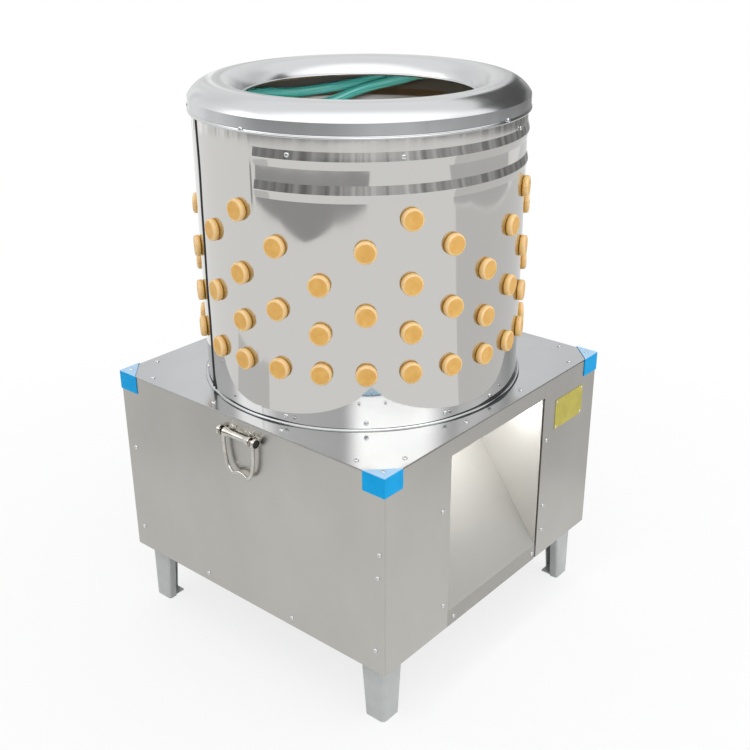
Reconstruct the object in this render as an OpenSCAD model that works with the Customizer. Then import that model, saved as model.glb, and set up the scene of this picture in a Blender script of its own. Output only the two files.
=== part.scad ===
// Drum poultry plucker on a square base box, millimetres, +Z up.
// The origin is on the floor, under the axis of the drum.
// The -Y side carries the front handle, the +X side the feather outlet.

/* [Base box] */
// Ledge of the top plate outside the drum
plate_margin = 27.5; // [20:0.5:60]
// Height of the side sheets under the top plate
box_h = 324; // [300:1:360]
// Clear height from the floor to the box
leg_h = 105; // [80:1:140]
// Thickness of the top plate
top_t = 2; // [1.5:0.5:4]
// Thickness of the side sheets
panel_t = 1.5; // [1:0.5:2.5]
// Thickness of the angle bars of the frame
angle_t = 3; // [2:0.5:5]
// Inward flange of the bottom rails
rail_wide = 40; // [32:1:50]
// Upright flange of the bottom rails
rail_up = 24; // [18:1:26]
// Flange of the corner posts
post_w = 30; // [22:1:36]

/* [Legs] */
// Distance from the box face to the outer face of a leg
leg_inset = 15; // [10:1:24]
// Width of a leg at the box
leg_top_w = 45; // [38:1:50]
// Width of a leg at the floor
leg_foot_w = 36; // [30:1:38]
// Sheet thickness of a leg
leg_t = 2.5; // [1.5:0.5:4]
// Depth of the lip along a leg's inner edges
leg_lip = 14; // [8:1:18]

/* [Outlet] */
// Left edge of the feather outlet, along Y
outlet_y0 = -127; // [-150:1:-110]
// Right edge of the feather outlet, along Y
outlet_y1 = 117; // [100:1:140]
// Height of the rail over the outlet
header_h = 26; // [15:1:30]
// Height of the sill under the outlet
sill_h = 29; // [27:1:40]
// Slope of the chute, degrees
chute_slope_deg = 54.6; // [50:0.2:58]
// Sheet thickness of the chute
chute_t = 1.5; // [1:0.5:3]
// Open slit between the chute and the access panel
slit_w = 3; // [1:0.5:5]

/* [Drum] */
// Outer radius of the drum
drum_r = 250; // [235:1:258]
// Sheet thickness of the drum
drum_t = 1.2; // [1:0.2:3]
// Height of the drum wall
drum_h = 442; // [430:1:520]
// Depth of the upper bead below the drum's edge
bead_drop = 53; // [45:1:60]
// Distance between the two beads
bead_pitch = 44; // [32:1:50]
// Height of one bead along the wall
bead_w = 24; // [16:1:26]
// How far a bead stands out
bead_out = 3; // [1:0.5:5]
// Angle of the plain end where one drum sheet laps over the other
lap_deg = 32; // [20:1:40]
// Ledge of the top plate inside the drum
ledge_w = 2.8; // [1:0.2:6]
// Width of the collar round the foot of the drum
collar_w = 5; // [3:0.5:9]
// Height of the collar
collar_h = 2.5; // [1.5:0.5:5]

/* [Lid ring] */
// Sheet thickness of the lid
lid_t = 1.2; // [1:0.2:3]
// Gap between the drum and the lid's skirt
lid_gap = 2.3; // [1.5:0.1:4]
// Height of the lid's skirt
skirt_h = 19.5; // [14:0.5:24]
// Radius of the mouth
mouth_r = 173; // [160:1:185]
// Radius of the highest line of the lid
crest_r = 214.3; // [208:0.1:222]
// Rise of the crown from its shoulder to the crest
crest_rise = 22.6; // [16:0.2:30]
// Fall of the crown from the crest to the mouth
lip_fall = 26.6; // [18:0.2:34]
// Radius of the rolled edges
roll_r = 2; // [1.5:0.1:3]

/* [Fingers] */
// Columns of fingers round the drum
finger_columns = 24; // [16:2:24]
// Angle between two columns of one drum sheet
column_step = 14.5; // [13:0.1:15]
// Height of the lowest row of fingers above the top plate
row_low = 88; // [86:0.5:110]
// Gap between the top row's heads and the lower bead
row_gap = 7; // [1:0.5:10]
// Radius of a finger's head
head_r = 16; // [14:0.5:17]
// Thickness of a finger's head
head_h = 9; // [6:0.5:12]
// Radius of a finger hole
hole_r = 10; // [8:0.5:11]
// Radius of a finger where it leaves the sheet
root_r = 13; // [11.5:0.5:14]
// Radius of a finger's tip
tip_r = 6.5; // [5:0.5:8]
// Length of a finger past its sheet
finger_len = 82; // [60:1:86]
// Ribs along a finger
finger_ribs = 6; // [3:1:8]
// How far a rib stands out
rib_out = 1.2; // [0.5:0.1:2]

/* [Turntable] */
// Gap between the turntable and the drum wall
feather_gap = 22.8; // [15:0.2:30]
// Thickness of the turntable
table_t = 4; // [3:0.5:6]
// Depth of the turntable's face below the top plate
table_drop = 9; // [6:1:14]
// Distance of the outer ring of plate fingers from the turntable's edge
ring_margin = 36; // [30:0.5:44]
// Distance between the outer and the middle ring of plate fingers
ring_step_out = 55; // [48:1:60]
// Distance between the middle and the inner ring of plate fingers
ring_step_in = 49; // [44:1:54]
// Thickness of a wiper blade
wiper_t = 4; // [3:0.5:6]
// Gap under a wiper
wiper_gap = 1.5; // [1:0.5:4]

/* [Feather pan] */
// Depth of the pan below the top plate's face
pan_depth = 44; // [42:1:54]
// Sheet thickness of the pan
pan_t = 1.5; // [1:0.5:3]
// Radius of the neck round the shaft
neck_r = 38; // [34:1:44]
// Height of the neck
neck_h = 12; // [8:1:14]

/* [Drive] */
// Radius of the main shaft
shaft_r = 12.5; // [10:0.5:16]
// Running clearance of a shaft in its bore
run_fit = 0.05; // [0.02:0.01:0.09]
// Distance from the main shaft to the motor shaft
belt_centres = 150; // [146:1:156]
// Pitch radius of the driven pulley
driven_r = 100; // [80:1:104]
// Pitch radius of the motor pulley
driver_r = 28; // [26:1:34]
// Height of the middle of the belt above the box's lower edge
belt_z = 50; // [44:1:54]
// Width of the belt's back
belt_w = 13; // [10:0.5:15]
// Thickness of the belt
belt_t = 8; // [6:0.5:9]
// Width of the bearing plates
bearing_w = 95; // [90:1:96]
// Thickness of the bearing plates
bearing_t = 12; // [8:1:14]
// Height of the bearing housings
bearing_h = 22; // [18:1:23]
// Width of the cross beams
beam_w = 100; // [98:1:104]
// Height of the cross beams
beam_h = 24; // [18:1:28]
// Wall of the cross beams
beam_t = 4; // [3:0.5:6]

/* [Motor] */
// Radius of the motor's casing
motor_r = 62; // [55:1:66]
// Clear gap over the motor's fan cover
motor_headroom = 22; // [10:1:40]
// How far the fins stand out
fin_out = 7; // [4:0.5:9]
// Fins round the casing
fin_count = 28; // [20:2:36]
// Length of the fan cover
fan_h = 44; // [34:1:48]
// Radius of the motor's shaft
motor_shaft_r = 11; // [9:0.5:12]
// Diameter of the motor flange's bolt circle
motor_bolt_circle = 115; // [105:1:118]
// Width of the terminal box
terminal_w = 60; // [44:1:72]
// Depth of the terminal box
terminal_d = 34; // [26:1:44]
// Height of the terminal box
terminal_h = 70; // [56:1:84]
// Thickness of the motor plate
motor_plate_t = 8; // [5:1:12]
// Height of the motor rails
motor_rail_h = 24; // [16:1:30]
// Width of the motor rails
motor_rail_w = 20; // [14:1:22]

/* [Handles] */
// Place of the handles along X
handle_x = 3; // [-60:1:60]
// Half length of the rolled barrel
barrel_half = 42; // [40:1:48]
// Outer radius of the barrel
barrel_r = 7; // [6.5:0.5:8]
// Depth of the barrel's axis below the top plate
barrel_drop = 24; // [22:1:34]
// Thickness of the handle's back plate
back_t = 1.5; // [1:0.5:2.5]
// Radius of the bail's wire
wire_r = 3; // [2.5:0.1:3.2]
// Half distance between the bail's arms
bail_half = 31; // [28:1:32]
// Length of the bail below its pivot
bail_len = 68; // [58:1:76]
// Half distance between the rivets
rivet_half = 18.5; // [16:0.5:22]

/* [Trim] */
// Reach of a corner guard along each edge
guard_w = 40; // [34:1:48]
// Height of a corner guard
guard_h = 30; // [24:1:40]
// Thickness of a corner guard
guard_t = 1.5; // [1:0.5:2.5]
// Length of the name plate
plate_len = 84; // [70:1:90]
// Height of the name plate
plate_h = 52; // [40:1:60]
// Thickness of the name plate
plate_t = 0.8; // [0.5:0.1:1.4]

/* [Switch] */
// Distance of the switch's middle from the edge of the rear sheet
switch_margin = 127.5; // [110:0.5:220]
// Width of the switch box
switch_w = 64; // [56:1:80]
// Height of the switch box
switch_h = 100; // [92:1:120]
// How far the switch box stands out
switch_out = 8; // [6:0.5:9]
// Radius of a push button
button_r = 11; // [9:0.5:13]
// How far a button stands out of its box
button_out = 5; // [4:0.5:6]

/* [Hose] */
// Outer diameter of the water hose
hose_d = 17; // [15:0.5:17.5]
// Clear gap between the hose and the drum wall
hose_gap = 0.4; // [0.3:0.1:1]

/* [Hidden] */

$fn = 96;

// Clearance between pieces of one body that sit in each other
seat = 0.1;
// Clearance between a moving piece and a fixed one
clear = 0.4;
// Overrun of a cut past a face
over = 1;

half = drum_r + plate_margin;
base_w = 2 * half;
inside = half - panel_t;
z_box = leg_h;
z_under = leg_h + box_h;
z_top = z_under + top_t;

drum_in = drum_r - drum_t;
bead_high = drum_h - bead_drop;
bead_low = bead_high - bead_pitch;
plate_hole_r = drum_in - ledge_w;
z_drum_top = z_top + drum_h;
z_table = z_top - table_drop;
table_r = drum_in - feather_gap;
ring_out_r = table_r - ring_margin;
ring_mid_r = ring_out_r - ring_step_out;
ring_in_r = ring_mid_r - ring_step_in;

// Frame levels: the beams lie on the inward flanges of the beam rails
pan_flange_w = 14;
pan_r = plate_hole_r + pan_t + seat;
z_pan = z_top - pan_depth;
z_upper_seat = z_pan - 2 - bearing_h - beam_h;
z_lower_seat = z_box + belt_z + 26;
z_belt = z_box + belt_z;
beam_half = inside - angle_t - seat;
bearing_pitch = 70;
bolt_r = 5;

// Chute: the slope runs up from the sill to the under side of the pan
slope_run = (z_pan - z_box - sill_h) / tan(chute_slope_deg);
slope_x0 = inside - slope_run;
access_y0 = outlet_y1 + chute_t + slit_w;
access_flange = 14;

// Finger rows: the top row lies under the lower bead, the others at shares of the way up to it
row_high = bead_low - bead_w / 2 - head_r - row_gap;
function row_at(share) = row_low + share * (row_high - row_low);
row_l1 = row_at(1);
row_m1 = row_at(0.81);
row_l2 = row_at(0.59);
row_m2 = row_at(0.4);
row_l3 = row_at(0.27);
long_column = [row_l1, row_l2, row_l3, row_low];
mid_column = [row_m1, row_m2, row_low];
short_column = [row_l2, row_l3, row_low];
column_kinds = [mid_column, long_column, mid_column, short_column];
// The drum is two bent sheets, the front one from this seam on, with the columns spread over each sheet
seam_deg = -116;
sheet_columns = floor(finger_columns / 2);
column_margin = (180 - (sheet_columns - 1) * column_step) / 2;
function column_rows(i) = column_kinds[i % 4];
function column_deg(i) = seam_deg + column_margin + i * column_step;

// Rings of fingers on the turntable: radius and count
table_rings = [[ring_out_r, 14], [ring_mid_r, 10], [ring_in_r, 6]];

// Rounded edge, plain neck and plain nose of a finger, and the flange of a wiper
finger_edge = 2.5;
finger_neck = 8;
finger_nose = 6;
wiper_flange = 18;

// Belt pulleys: the V groove has its sides at this angle
groove_deg = 19;
groove_gap = 0.4;
rim_w = 4;
belt_back = 3;

// Handle axis and pivots
barrel_y = half + back_t + barrel_r - 0.5;
barrel_z = z_top - barrel_drop;

// Water hose: azimuth, distance from the wall line and depth below the drum's edge
wall_line = drum_in - hose_gap - hose_d / 2;
hose_route = [[202, 0, 32.8], [194, 0, 32.8], [184, 0, 34], [172, 0, 37], [158, 0, 42], [146, 0, 39],
    [136, 0, 34], [127, 0, 27], [118, 0, 18], [108, 0, 10], [96, 0, 5], [80, 0, 4], [50, 0, 4],
    [20, 0, 4], [-10, 0, 4], [-40, 0, 5], [-65, 0, 8], [-90, 0, 16], [-112, 0, 30], [-130, 0, 44],
    [-147, 1, 56], [-165, 5, 64], [-185, 12, 68], [-203, 17, 66], [-214, 17, 60], [-221, 17, 52],
    [-226, 17, 44], [-233, 17, 35], [-241, 17, 27], [-248, 17, 20], [-256, 18, 11], [-268, 21, 7],
    [-280, 25, 7]];
hose_steps = 2;
hose_sides = 10;
inlet_r = 7;

// Catmull-Rom between the route's points
function spline(p, i, t) =
    let (n = len(p) - 1, a = p[max(i - 1, 0)], b = p[i], c = p[i + 1], d = p[min(i + 2, n)])
    0.5 * (2 * b + (c - a) * t + (2 * a - 5 * b + 4 * c - d) * t * t + (3 * b - 3 * c + d - a) * t * t * t);
function spline_points(p, steps) =
    concat([for (i = [0 : len(p) - 2], k = [0 : steps - 1]) spline(p, i, k / steps)], [p[len(p) - 1]]);
function hose_point(q) =
    [(wall_line - q[1]) * cos(q[0]), (wall_line - q[1]) * sin(q[0]), z_drum_top - q[2]];
hose_line = [for (q = spline_points(hose_route, hose_steps)) hose_point(q)];

// A round tube along a line of points, closed at both ends
function unit(v) = v / norm(v);
function tangent(p, i) = unit(p[min(i + 1, len(p) - 1)] - p[max(i - 1, 0)]);
module tube_along(p, r, sides, up) {
    rings = len(p);
    points = [for (i = [0 : rings - 1])
        let (t = tangent(p, i), u = unit(cross(up, t)), v = cross(t, u))
        for (k = [0 : sides - 1]) p[i] + r * (cos(360 * k / sides) * u + sin(360 * k / sides) * v)];
    walls = [for (i = [0 : rings - 2], k = [0 : sides - 1])
        let (a = i * sides + k, b = i * sides + (k + 1) % sides)
        each [[a, a + sides, b], [b, a + sides, b + sides]]];
    caps = [for (k = [1 : sides - 2])
        each [[0, k, k + 1], [(rings - 1) * sides, (rings - 1) * sides + k + 1, (rings - 1) * sides + k]]];
    polyhedron(points, concat(walls, caps));
}

// An angle bar along X: heel at the origin, flanges towards +Y and +Z
module angle_bar(length, wide, up) {
    translate([-length / 2, 0, 0])
        rotate([90, 0, 90])
            linear_extrude(length)
                polygon([[0, 0], [wide, 0], [wide, angle_t], [angle_t, angle_t], [angle_t, up], [0, up]]);
}

// Front and rear copies of a piece drawn at the front
module front_and_rear() {
    children();
    mirror([0, 1, 0]) children();
}

// A piece drawn in the +X +Y corner, moved to another corner
module at_corner(x, y) {
    mirror([x < 0 ? 1 : 0, 0, 0])
        mirror([0, y < 0 ? 1 : 0, 0])
            children();
}

// The rear handle is the front one turned half round
module at_rear() {
    rotate([0, 0, 180]) children();
}

module hex(r, h) {
    cylinder(r = r, h = h, $fn = 6);
}

// Square base box

module top_plate() {
    color("gainsboro")
        translate([0, 0, z_under])
            difference() {
                translate([-half, -half, 0]) cube([base_w, base_w, top_t]);
                translate([0, 0, -over]) cylinder(r = plate_hole_r, h = top_t + 2 * over);
            }
}

module long_panel() {
    translate([-half, -half, z_box]) cube([base_w, panel_t, box_h]);
}

module front_panel() {
    color("silver") long_panel();
}

module rear_panel() {
    color("silver")
        difference() {
            mirror([0, 1, 0]) long_panel();
            switch_hole();
            gland_hole();
        }
}

module side_panel() {
    color("silver")
        translate([-half, -inside, z_box]) cube([panel_t, 2 * inside, box_h]);
}

// The sheet left of the outlet, with the rail that runs on over it
module discharge_panel() {
    color("silver")
        translate([inside, 0, 0]) {
            translate([0, -inside, z_box]) cube([panel_t, inside + outlet_y0, box_h]);
            translate([0, -inside, z_under - header_h])
                cube([panel_t, inside + access_y0 - seat, header_h]);
        }
}

// The sheet right of the outlet, with a flange bent inwards along the slit
module access_panel() {
    color("silver") {
        translate([inside, access_y0, z_box]) cube([panel_t, inside - access_y0, box_h]);
        translate([half - access_flange, access_y0, z_box + rail_up + over])
            cube([access_flange, panel_t, box_h - rail_up - 2 * over]);
    }
}

// Welded frame behind the sheets

module corner_posts() {
    color("darkgray")
        for (x = [-1, 1], y = [-1, 1])
            at_corner(x, y)
                translate([inside, inside, z_box + rail_up])
                    rotate([0, 0, 180])
                        linear_extrude(box_h - rail_up)
                            polygon([[0, 0], [post_w, 0], [post_w, angle_t], [angle_t, angle_t],
                                [angle_t, post_w], [0, post_w]]);
}

module bottom_rails() {
    color("darkgray") {
        front_and_rear()
            translate([0, -inside, z_box]) angle_bar(2 * inside, rail_wide, rail_up);
        for (x = [-1, 1])
            at_corner(x, 1)
                translate([inside, 0, z_box])
                    rotate([0, 0, 90]) angle_bar(2 * (inside - rail_wide), rail_wide, rail_up);
    }
}

module beam_rails() {
    color("darkgray")
        for (z = [z_upper_seat, z_lower_seat])
            front_and_rear()
                translate([0, -inside, z - angle_t]) angle_bar(2 * (inside - post_w), rail_wide, rail_up);
}

// A channel along Y with its web on top, bored for the shaft and the bearing's bolts
module cross_beam(z) {
    color("slategray")
        translate([0, 0, z])
            difference() {
                translate([-beam_w / 2, -beam_half, 0]) cube([beam_w, 2 * beam_half, beam_h]);
                translate([-beam_w / 2 + beam_t, -beam_half - over, -over])
                    cube([beam_w - 2 * beam_t, 2 * (beam_half + over), beam_h - beam_t + over]);
                cylinder(r = shaft_r + 6, h = beam_h + over);
                bearing_holes(beam_h + over);
            }
}

module upper_beam() {
    cross_beam(z_upper_seat);
}

module lower_beam() {
    cross_beam(z_lower_seat);
}

// Pressed corner leg, drawn in the +X +Y corner and open towards the middle
module corner_leg() {
    corner = half - leg_inset;
    taper = leg_top_w - leg_foot_w;
    pad_t = 3;
    color("gray") {
        leg_face(corner, taper);
        mirror([1, -1, 0]) leg_face(corner, taper);
        translate([corner - leg_foot_w, corner - leg_foot_w, 0]) cube([leg_foot_w, leg_foot_w, pad_t]);
        translate([corner - leg_top_w, corner - leg_top_w, leg_h - pad_t])
            cube([leg_top_w, leg_top_w, pad_t]);
    }
}

// One tapered face of a leg with the lip along its inner edge
module leg_face(corner, taper) {
    foot_y = corner - leg_foot_w;
    translate([corner - leg_t, 0, 0])
        rotate([90, 0, 90])
            linear_extrude(leg_t)
                polygon([[foot_y, 0], [corner, 0], [corner, leg_h], [foot_y - taper, leg_h]]);
    translate([corner - leg_lip, 0, 0])
        rotate([90, 0, 90])
            linear_extrude(leg_lip)
                polygon([[foot_y, 0], [foot_y + leg_t, 0], [foot_y - taper + leg_t, leg_h],
                    [foot_y - taper, leg_h]]);
}

module leg_front_left() {
    at_corner(-1, -1) corner_leg();
}

module leg_front_right() {
    at_corner(1, -1) corner_leg();
}

module leg_rear_left() {
    at_corner(-1, 1) corner_leg();
}

module leg_rear_right() {
    at_corner(1, 1) corner_leg();
}

// Moulded guard over one corner of the top plate: a triangle and two side flaps
module corner_guard() {
    edge = half + guard_t;
    color("deepskyblue") {
        translate([0, 0, z_top])
            linear_extrude(guard_t)
                polygon([[edge, edge], [edge - guard_w, edge], [edge, edge - guard_w]]);
        guard_flap(edge);
        mirror([1, -1, 0]) guard_flap(edge);
    }
}

module guard_flap(edge) {
    translate([half, edge - guard_w, z_top - guard_h]) cube([guard_t, guard_w, guard_h + guard_t]);
}

module corner_guard_front_left() {
    at_corner(-1, -1) corner_guard();
}

module corner_guard_front_right() {
    at_corner(1, -1) corner_guard();
}

module corner_guard_rear_left() {
    at_corner(-1, 1) corner_guard();
}

module corner_guard_rear_right() {
    at_corner(1, 1) corner_guard();
}

// Drum, lid and the fingers in its wall

// Where the beads of the front sheet start, past its plain end
bead_first_deg = seam_deg + lap_deg;
bead_span = 180 - lap_deg;
// Length of the closed end of a bead, degrees
bead_end_deg = 0.4;
function backwards(p) = [for (i = [len(p) - 1 : -1 : 0]) p[i]];

// The beads of both drum sheets as solid rings of V section, rooted in the wall, shortened at both ends
module bead_rings(r, shorter_deg) {
    root = drum_t / 2;
    spread = bead_w / 2 * (1 + root / bead_out);
    for (turn = [0, 180], z = [bead_low, bead_high])
        rotate([0, 0, bead_first_deg + turn + shorter_deg])
            rotate_extrude(angle = bead_span - 2 * shorter_deg)
                polygon([[r - root, z - spread], [r + bead_out, z], [r - root, z + spread]]);
}

// Drum wall of two bent sheets, with beads pressed outwards
module drum_wall() {
    difference() {
        union() {
            rotate_extrude() translate([drum_in, 0]) square([drum_t, drum_h]);
            bead_rings(drum_r, 0);
        }
        bead_rings(drum_in, bead_end_deg);
    }
}

// Calls its children at every finger hole of the wall, +Z pointing outwards
module at_wall_fingers() {
    for (turn = [0, 180], i = [0 : sheet_columns - 1])
        rotate([0, 0, turn + column_deg(i)])
            for (z = column_rows(i))
                translate([drum_r, 0, z_top + z])
                    rotate([0, 90, 0])
                        children();
}

module drum_shell() {
    color("whitesmoke")
        difference() {
            translate([0, 0, z_top]) drum_wall();
            at_wall_fingers()
                translate([0, 0, -hole_r]) cylinder(r = hole_r, h = 2 * hole_r, $fn = 32);
            rotate([0, 0, inlet_deg])
                translate([drum_in - over, 0, z_top + inlet_z])
                    rotate([0, 90, 0])
                        cylinder(r = inlet_r + seat, h = drum_t + 2 * over);
        }
}

// Bent ring that holds the foot of the drum down on the top plate
module drum_collar() {
    color("lightgray")
        translate([0, 0, z_top])
            rotate_extrude()
                polygon([[drum_r + seat, 0], [drum_r + collar_w, 0], [drum_r + collar_w, collar_h / 2],
                    [drum_r + collar_w - collar_h / 2, collar_h], [drum_r + seat, collar_h]]);
}

// Spun lid: skirt, round crown and a rolled lip round the mouth
lid_out = drum_r + lid_gap + lid_t;
// Turn of the crown on its outer and on its inner side, from level at the crest
crown_out_deg = 60;
crown_in_deg = 65;
lid_steps = 12;
out_wide = (lid_out - crest_r) / sin(crown_out_deg);
out_high = crest_rise / (1 - cos(crown_out_deg));
in_wide = (crest_r - mouth_r - roll_r) / sin(crown_in_deg);
in_high = lip_fall / (1 - cos(crown_in_deg));
// The lid rests on the drum's edge under its crown
rest_deg = asin((drum_r - crest_r) / (out_wide - lid_t));
crest_z = drum_h + seat + out_high - (out_high - lid_t) * cos(rest_deg);
shoulder_z = crest_z - crest_rise;
function crown_arc(wide, high, from, to) = [for (k = [0 : lid_steps]) let (a = from + (to - from) * k / lid_steps)
    [crest_r + wide * sin(a), crest_z - high * (1 - cos(a))]];
function crown(inset) = concat(
    [for (p = crown_arc(out_wide - inset, out_high - inset, crown_out_deg, 0)) p - [0, inset]],
    [for (p = crown_arc(in_wide - inset, in_high - inset, 0, -crown_in_deg)) p - [0, inset]]);

module lid_ring() {
    lip_end = crown(lid_t / 2)[2 * lid_steps + 1];
    skirt_end = shoulder_z - skirt_h;
    color("gainsboro")
        translate([0, 0, z_top])
            rotate_extrude() {
                polygon(concat([[lid_out, skirt_end]], crown(0), backwards(crown(lid_t)),
                    [[lid_out - lid_t, skirt_end]]));
                translate([lid_out - lid_t / 2, skirt_end]) circle(r = roll_r, $fn = 32);
                translate(lip_end) circle(r = roll_r, $fn = 32);
            }
}

// Ribbed rubber finger along Z: the head is over the sheet, the finger goes down through it
module rubber_finger(sheet, length) {
    edge = finger_edge;
    pitch = (length - finger_neck - finger_nose) / finger_ribs;
    function body_r(z) = root_r + (tip_r - root_r) * z / length;
    ribs = [for (i = [0 : finger_ribs - 1]) let (z = finger_neck + i * pitch)
        each [[body_r(z), z], [body_r(z) + rib_out, z + 0.2 * pitch],
            [body_r(z) + rib_out, z + 0.4 * pitch], [body_r(z + 0.6 * pitch), z + 0.6 * pitch]]];
    rotate_extrude($fn = 32)
        polygon(concat(
            [[0, head_h], [head_r - edge, head_h], [head_r, head_h - edge], [head_r, edge / 2],
                [head_r - edge / 2, seat], [hole_r - seat, seat], [hole_r - seat, -sheet], [root_r, -sheet]],
            [for (p = ribs) [p[0], -sheet - p[1]]],
            [[tip_r, -sheet - length + edge], [tip_r - edge, -sheet - length], [0, -sheet - length]]));
}

// The flat shoulder of a finger clears the curve of the drum's inner wall
shoulder_gap = root_r * root_r / drum_in / 2 + seat;

module wall_fingers() {
    color("goldenrod")
        at_wall_fingers() rubber_finger(drum_t + shoulder_gap, finger_len);
}

// Fixed pan under the turntable, open over the chute

module feather_pan() {
    outlet_x0 = slope_x0 + 5;
    wall_h = pan_depth - top_t;
    color("silver")
        translate([0, 0, z_pan])
            difference() {
                rotate_extrude()
                    polygon([[neck_r, 0], [pan_r, 0], [pan_r, wall_h - pan_t],
                        [pan_r + pan_flange_w, wall_h - pan_t], [pan_r + pan_flange_w, wall_h],
                        [pan_r - pan_t, wall_h], [pan_r - pan_t, pan_t], [neck_r + pan_t, pan_t],
                        [neck_r + pan_t, neck_h], [neck_r, neck_h]]);
                intersection() {
                    translate([outlet_x0, outlet_y0 + 12, -over])
                        cube([pan_r, outlet_y1 - outlet_y0 - 24, pan_t + 2 * over]);
                    translate([0, 0, -over]) cylinder(r = pan_r - 10, h = pan_t + 2 * over);
                }
            }
}

// Sloping bottom of the chute, folded down into the sill of the outlet
module chute_slope() {
    rise = chute_t / cos(chute_slope_deg);
    color("lightgray")
        translate([0, outlet_y1, 0])
            rotate([90, 0, 0])
                linear_extrude(outlet_y1 - outlet_y0)
                    polygon([[inside + panel_t, z_box], [inside + panel_t, z_box + sill_h],
                        [inside, z_box + sill_h + rise / 2], [slope_x0, z_pan], [slope_x0, z_pan - rise],
                        [inside - over, z_box + sill_h - rise / 2], [inside, z_box + sill_h - rise],
                        [inside, z_box]]);
}

// Upright side sheet of the chute over the slope, with a tab up past the pan
module chute_side(y) {
    rise = chute_t / cos(chute_slope_deg);
    near_y = min(-outlet_y0, outlet_y1);
    tab_x = sqrt(pan_r * pan_r - near_y * near_y) + 3;
    z_tab = z_under - pan_t - 2;
    color("lightgray")
        translate([0, y + chute_t, 0])
            rotate([90, 0, 0])
                linear_extrude(chute_t)
                    polygon([[inside - seat, z_box + rail_up + over], [inside - seat, z_tab], [tab_x, z_tab],
                        [tab_x, z_pan], [slope_x0, z_pan], [slope_x0, z_pan - rise]]);
}

module chute_side_left() {
    chute_side(outlet_y0 - chute_t);
}

module chute_side_right() {
    chute_side(outlet_y1);
}

// Turntable and what turns with it

module at_table_fingers() {
    for (ring = table_rings)
        for (k = [0 : ring[1] - 1])
            rotate([0, 0, (k + 0.5) * 360 / ring[1]])
                translate([ring[0], 0, z_table - table_t])
                    rotate([180, 0, 0])
                        children();
}

module turntable() {
    color("lightgray")
        difference() {
            translate([0, 0, z_table - table_t]) cylinder(r = table_r, h = table_t);
            translate([0, 0, z_table - table_t - over]) cylinder(r = shaft_r + seat, h = table_t + 2 * over);
            at_table_fingers()
                translate([0, 0, -table_t - over]) cylinder(r = hole_r, h = table_t + 2 * over, $fn = 32);
        }
}

module plate_fingers() {
    color("goldenrod")
        at_table_fingers() rubber_finger(table_t + seat, finger_len);
}

// Two angle blades under the turntable that sweep the feathers to the outlet
module wipers() {
    inner_r = ring_in_r - head_r - 3;
    blade_h = pan_depth - table_drop - table_t - pan_t - wiper_gap;
    color("dimgray")
        for (turn = [0, 180])
            rotate([0, 0, turn])
                translate([inner_r, 0, z_table - table_t - blade_h]) {
                    translate([0, -wiper_t / 2, 0]) cube([table_r - wiper_t - inner_r, wiper_t, blade_h]);
                    translate([0, -wiper_t / 2, blade_h - wiper_t])
                        cube([table_r - wiper_t - inner_r, wiper_flange, wiper_t]);
                }
}

module hub() {
    flange_t = 6;
    boss_r = 25;
    boss_h = 26;
    color("dimgray")
        translate([0, 0, z_table - table_t])
            difference() {
                union() {
                    translate([0, 0, -flange_t]) cylinder(r = ring_in_r - head_r - 9, h = flange_t);
                    translate([0, 0, -boss_h]) cylinder(r = boss_r, h = boss_h);
                }
                translate([0, 0, -boss_h - over]) cylinder(r = shaft_r + seat / 2, h = boss_h + 2 * over);
            }
}

shaft_foot = z_belt - 18;
shaft_head = z_table + 16;

module main_shaft() {
    color("lightsteelblue")
        translate([0, 0, shaft_foot])
            cylinder(r = shaft_r, h = shaft_head - shaft_foot);
}

// Domed nut that clamps the turntable on the shaft
module cap_nut() {
    nut_h = 12;
    nut_r = 22;
    dome_h = 12;
    color("silver")
        translate([0, 0, z_table])
            difference() {
                union() {
                    cylinder(r = nut_r + 6, h = 3);
                    hex(nut_r, nut_h);
                    translate([0, 0, nut_h])
                        rotate_extrude()
                            polygon(concat([[0, 0]], [for (a = [0 : 15 : 90])
                                [(nut_r - 4) * cos(a), dome_h * sin(a)]]));
                }
                translate([0, 0, -over]) cylinder(r = shaft_r + seat / 2, h = shaft_head - z_table + over + seat);
            }
}

pulley_rim = 8;
pulley_dish = 6;
least_web = 12;
driven_boss_r = 28;

// V groove of a pulley, cut from a rim round the belt with the groove's clearance
module pulley(pitch_r, bore_r, boss_r) {
    out_r = pitch_r + belt_back + 1;
    width = belt_w + 2 * rim_w;
    root = pitch_r + belt_back - belt_t - 2;
    lip = belt_w / 2 + groove_gap + (out_r - pitch_r - belt_back) * tan(groove_deg);
    foot = lip - (out_r - root) * tan(groove_deg);
    web_r = root - pulley_rim;
    difference() {
        rotate_extrude()
            polygon([[bore_r, -width / 2], [out_r, -width / 2], [out_r, -lip], [root, -foot], [root, foot],
                [out_r, lip], [out_r, width / 2], [bore_r, width / 2]]);
        if (web_r - boss_r > least_web)
            for (side = [-1, 1])
                translate([0, 0, side * (width / 2 + over)])
                    rotate_extrude()
                        translate([boss_r, -over - pulley_dish]) square([web_r - boss_r, 2 * (over + pulley_dish)]);
    }
}

module driven_pulley() {
    color("slategray")
        translate([0, 0, z_belt]) pulley(driven_r, shaft_r + seat / 2, driven_boss_r);
}

// Bearings on the beams

module bearing_holes(h) {
    for (x = [-1, 1], y = [-1, 1])
        translate([x * bearing_pitch / 2, y * bearing_pitch / 2, 0])
            cylinder(r = bolt_r + seat, h = h, $fn = 32);
}

module flange_bearing(z) {
    color("steelblue")
        translate([0, 0, z])
            difference() {
                union() {
                    translate([-bearing_w / 2, -bearing_w / 2, 0]) cube([bearing_w, bearing_w, bearing_t]);
                    cylinder(r1 = bearing_w / 2 - 9, r2 = bearing_w / 2 - 15, h = bearing_h);
                }
                translate([0, 0, -over]) cylinder(r = shaft_r + run_fit, h = bearing_h + 2 * over);
                translate([0, 0, -over]) bearing_holes(bearing_h + 2 * over);
            }
}

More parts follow.
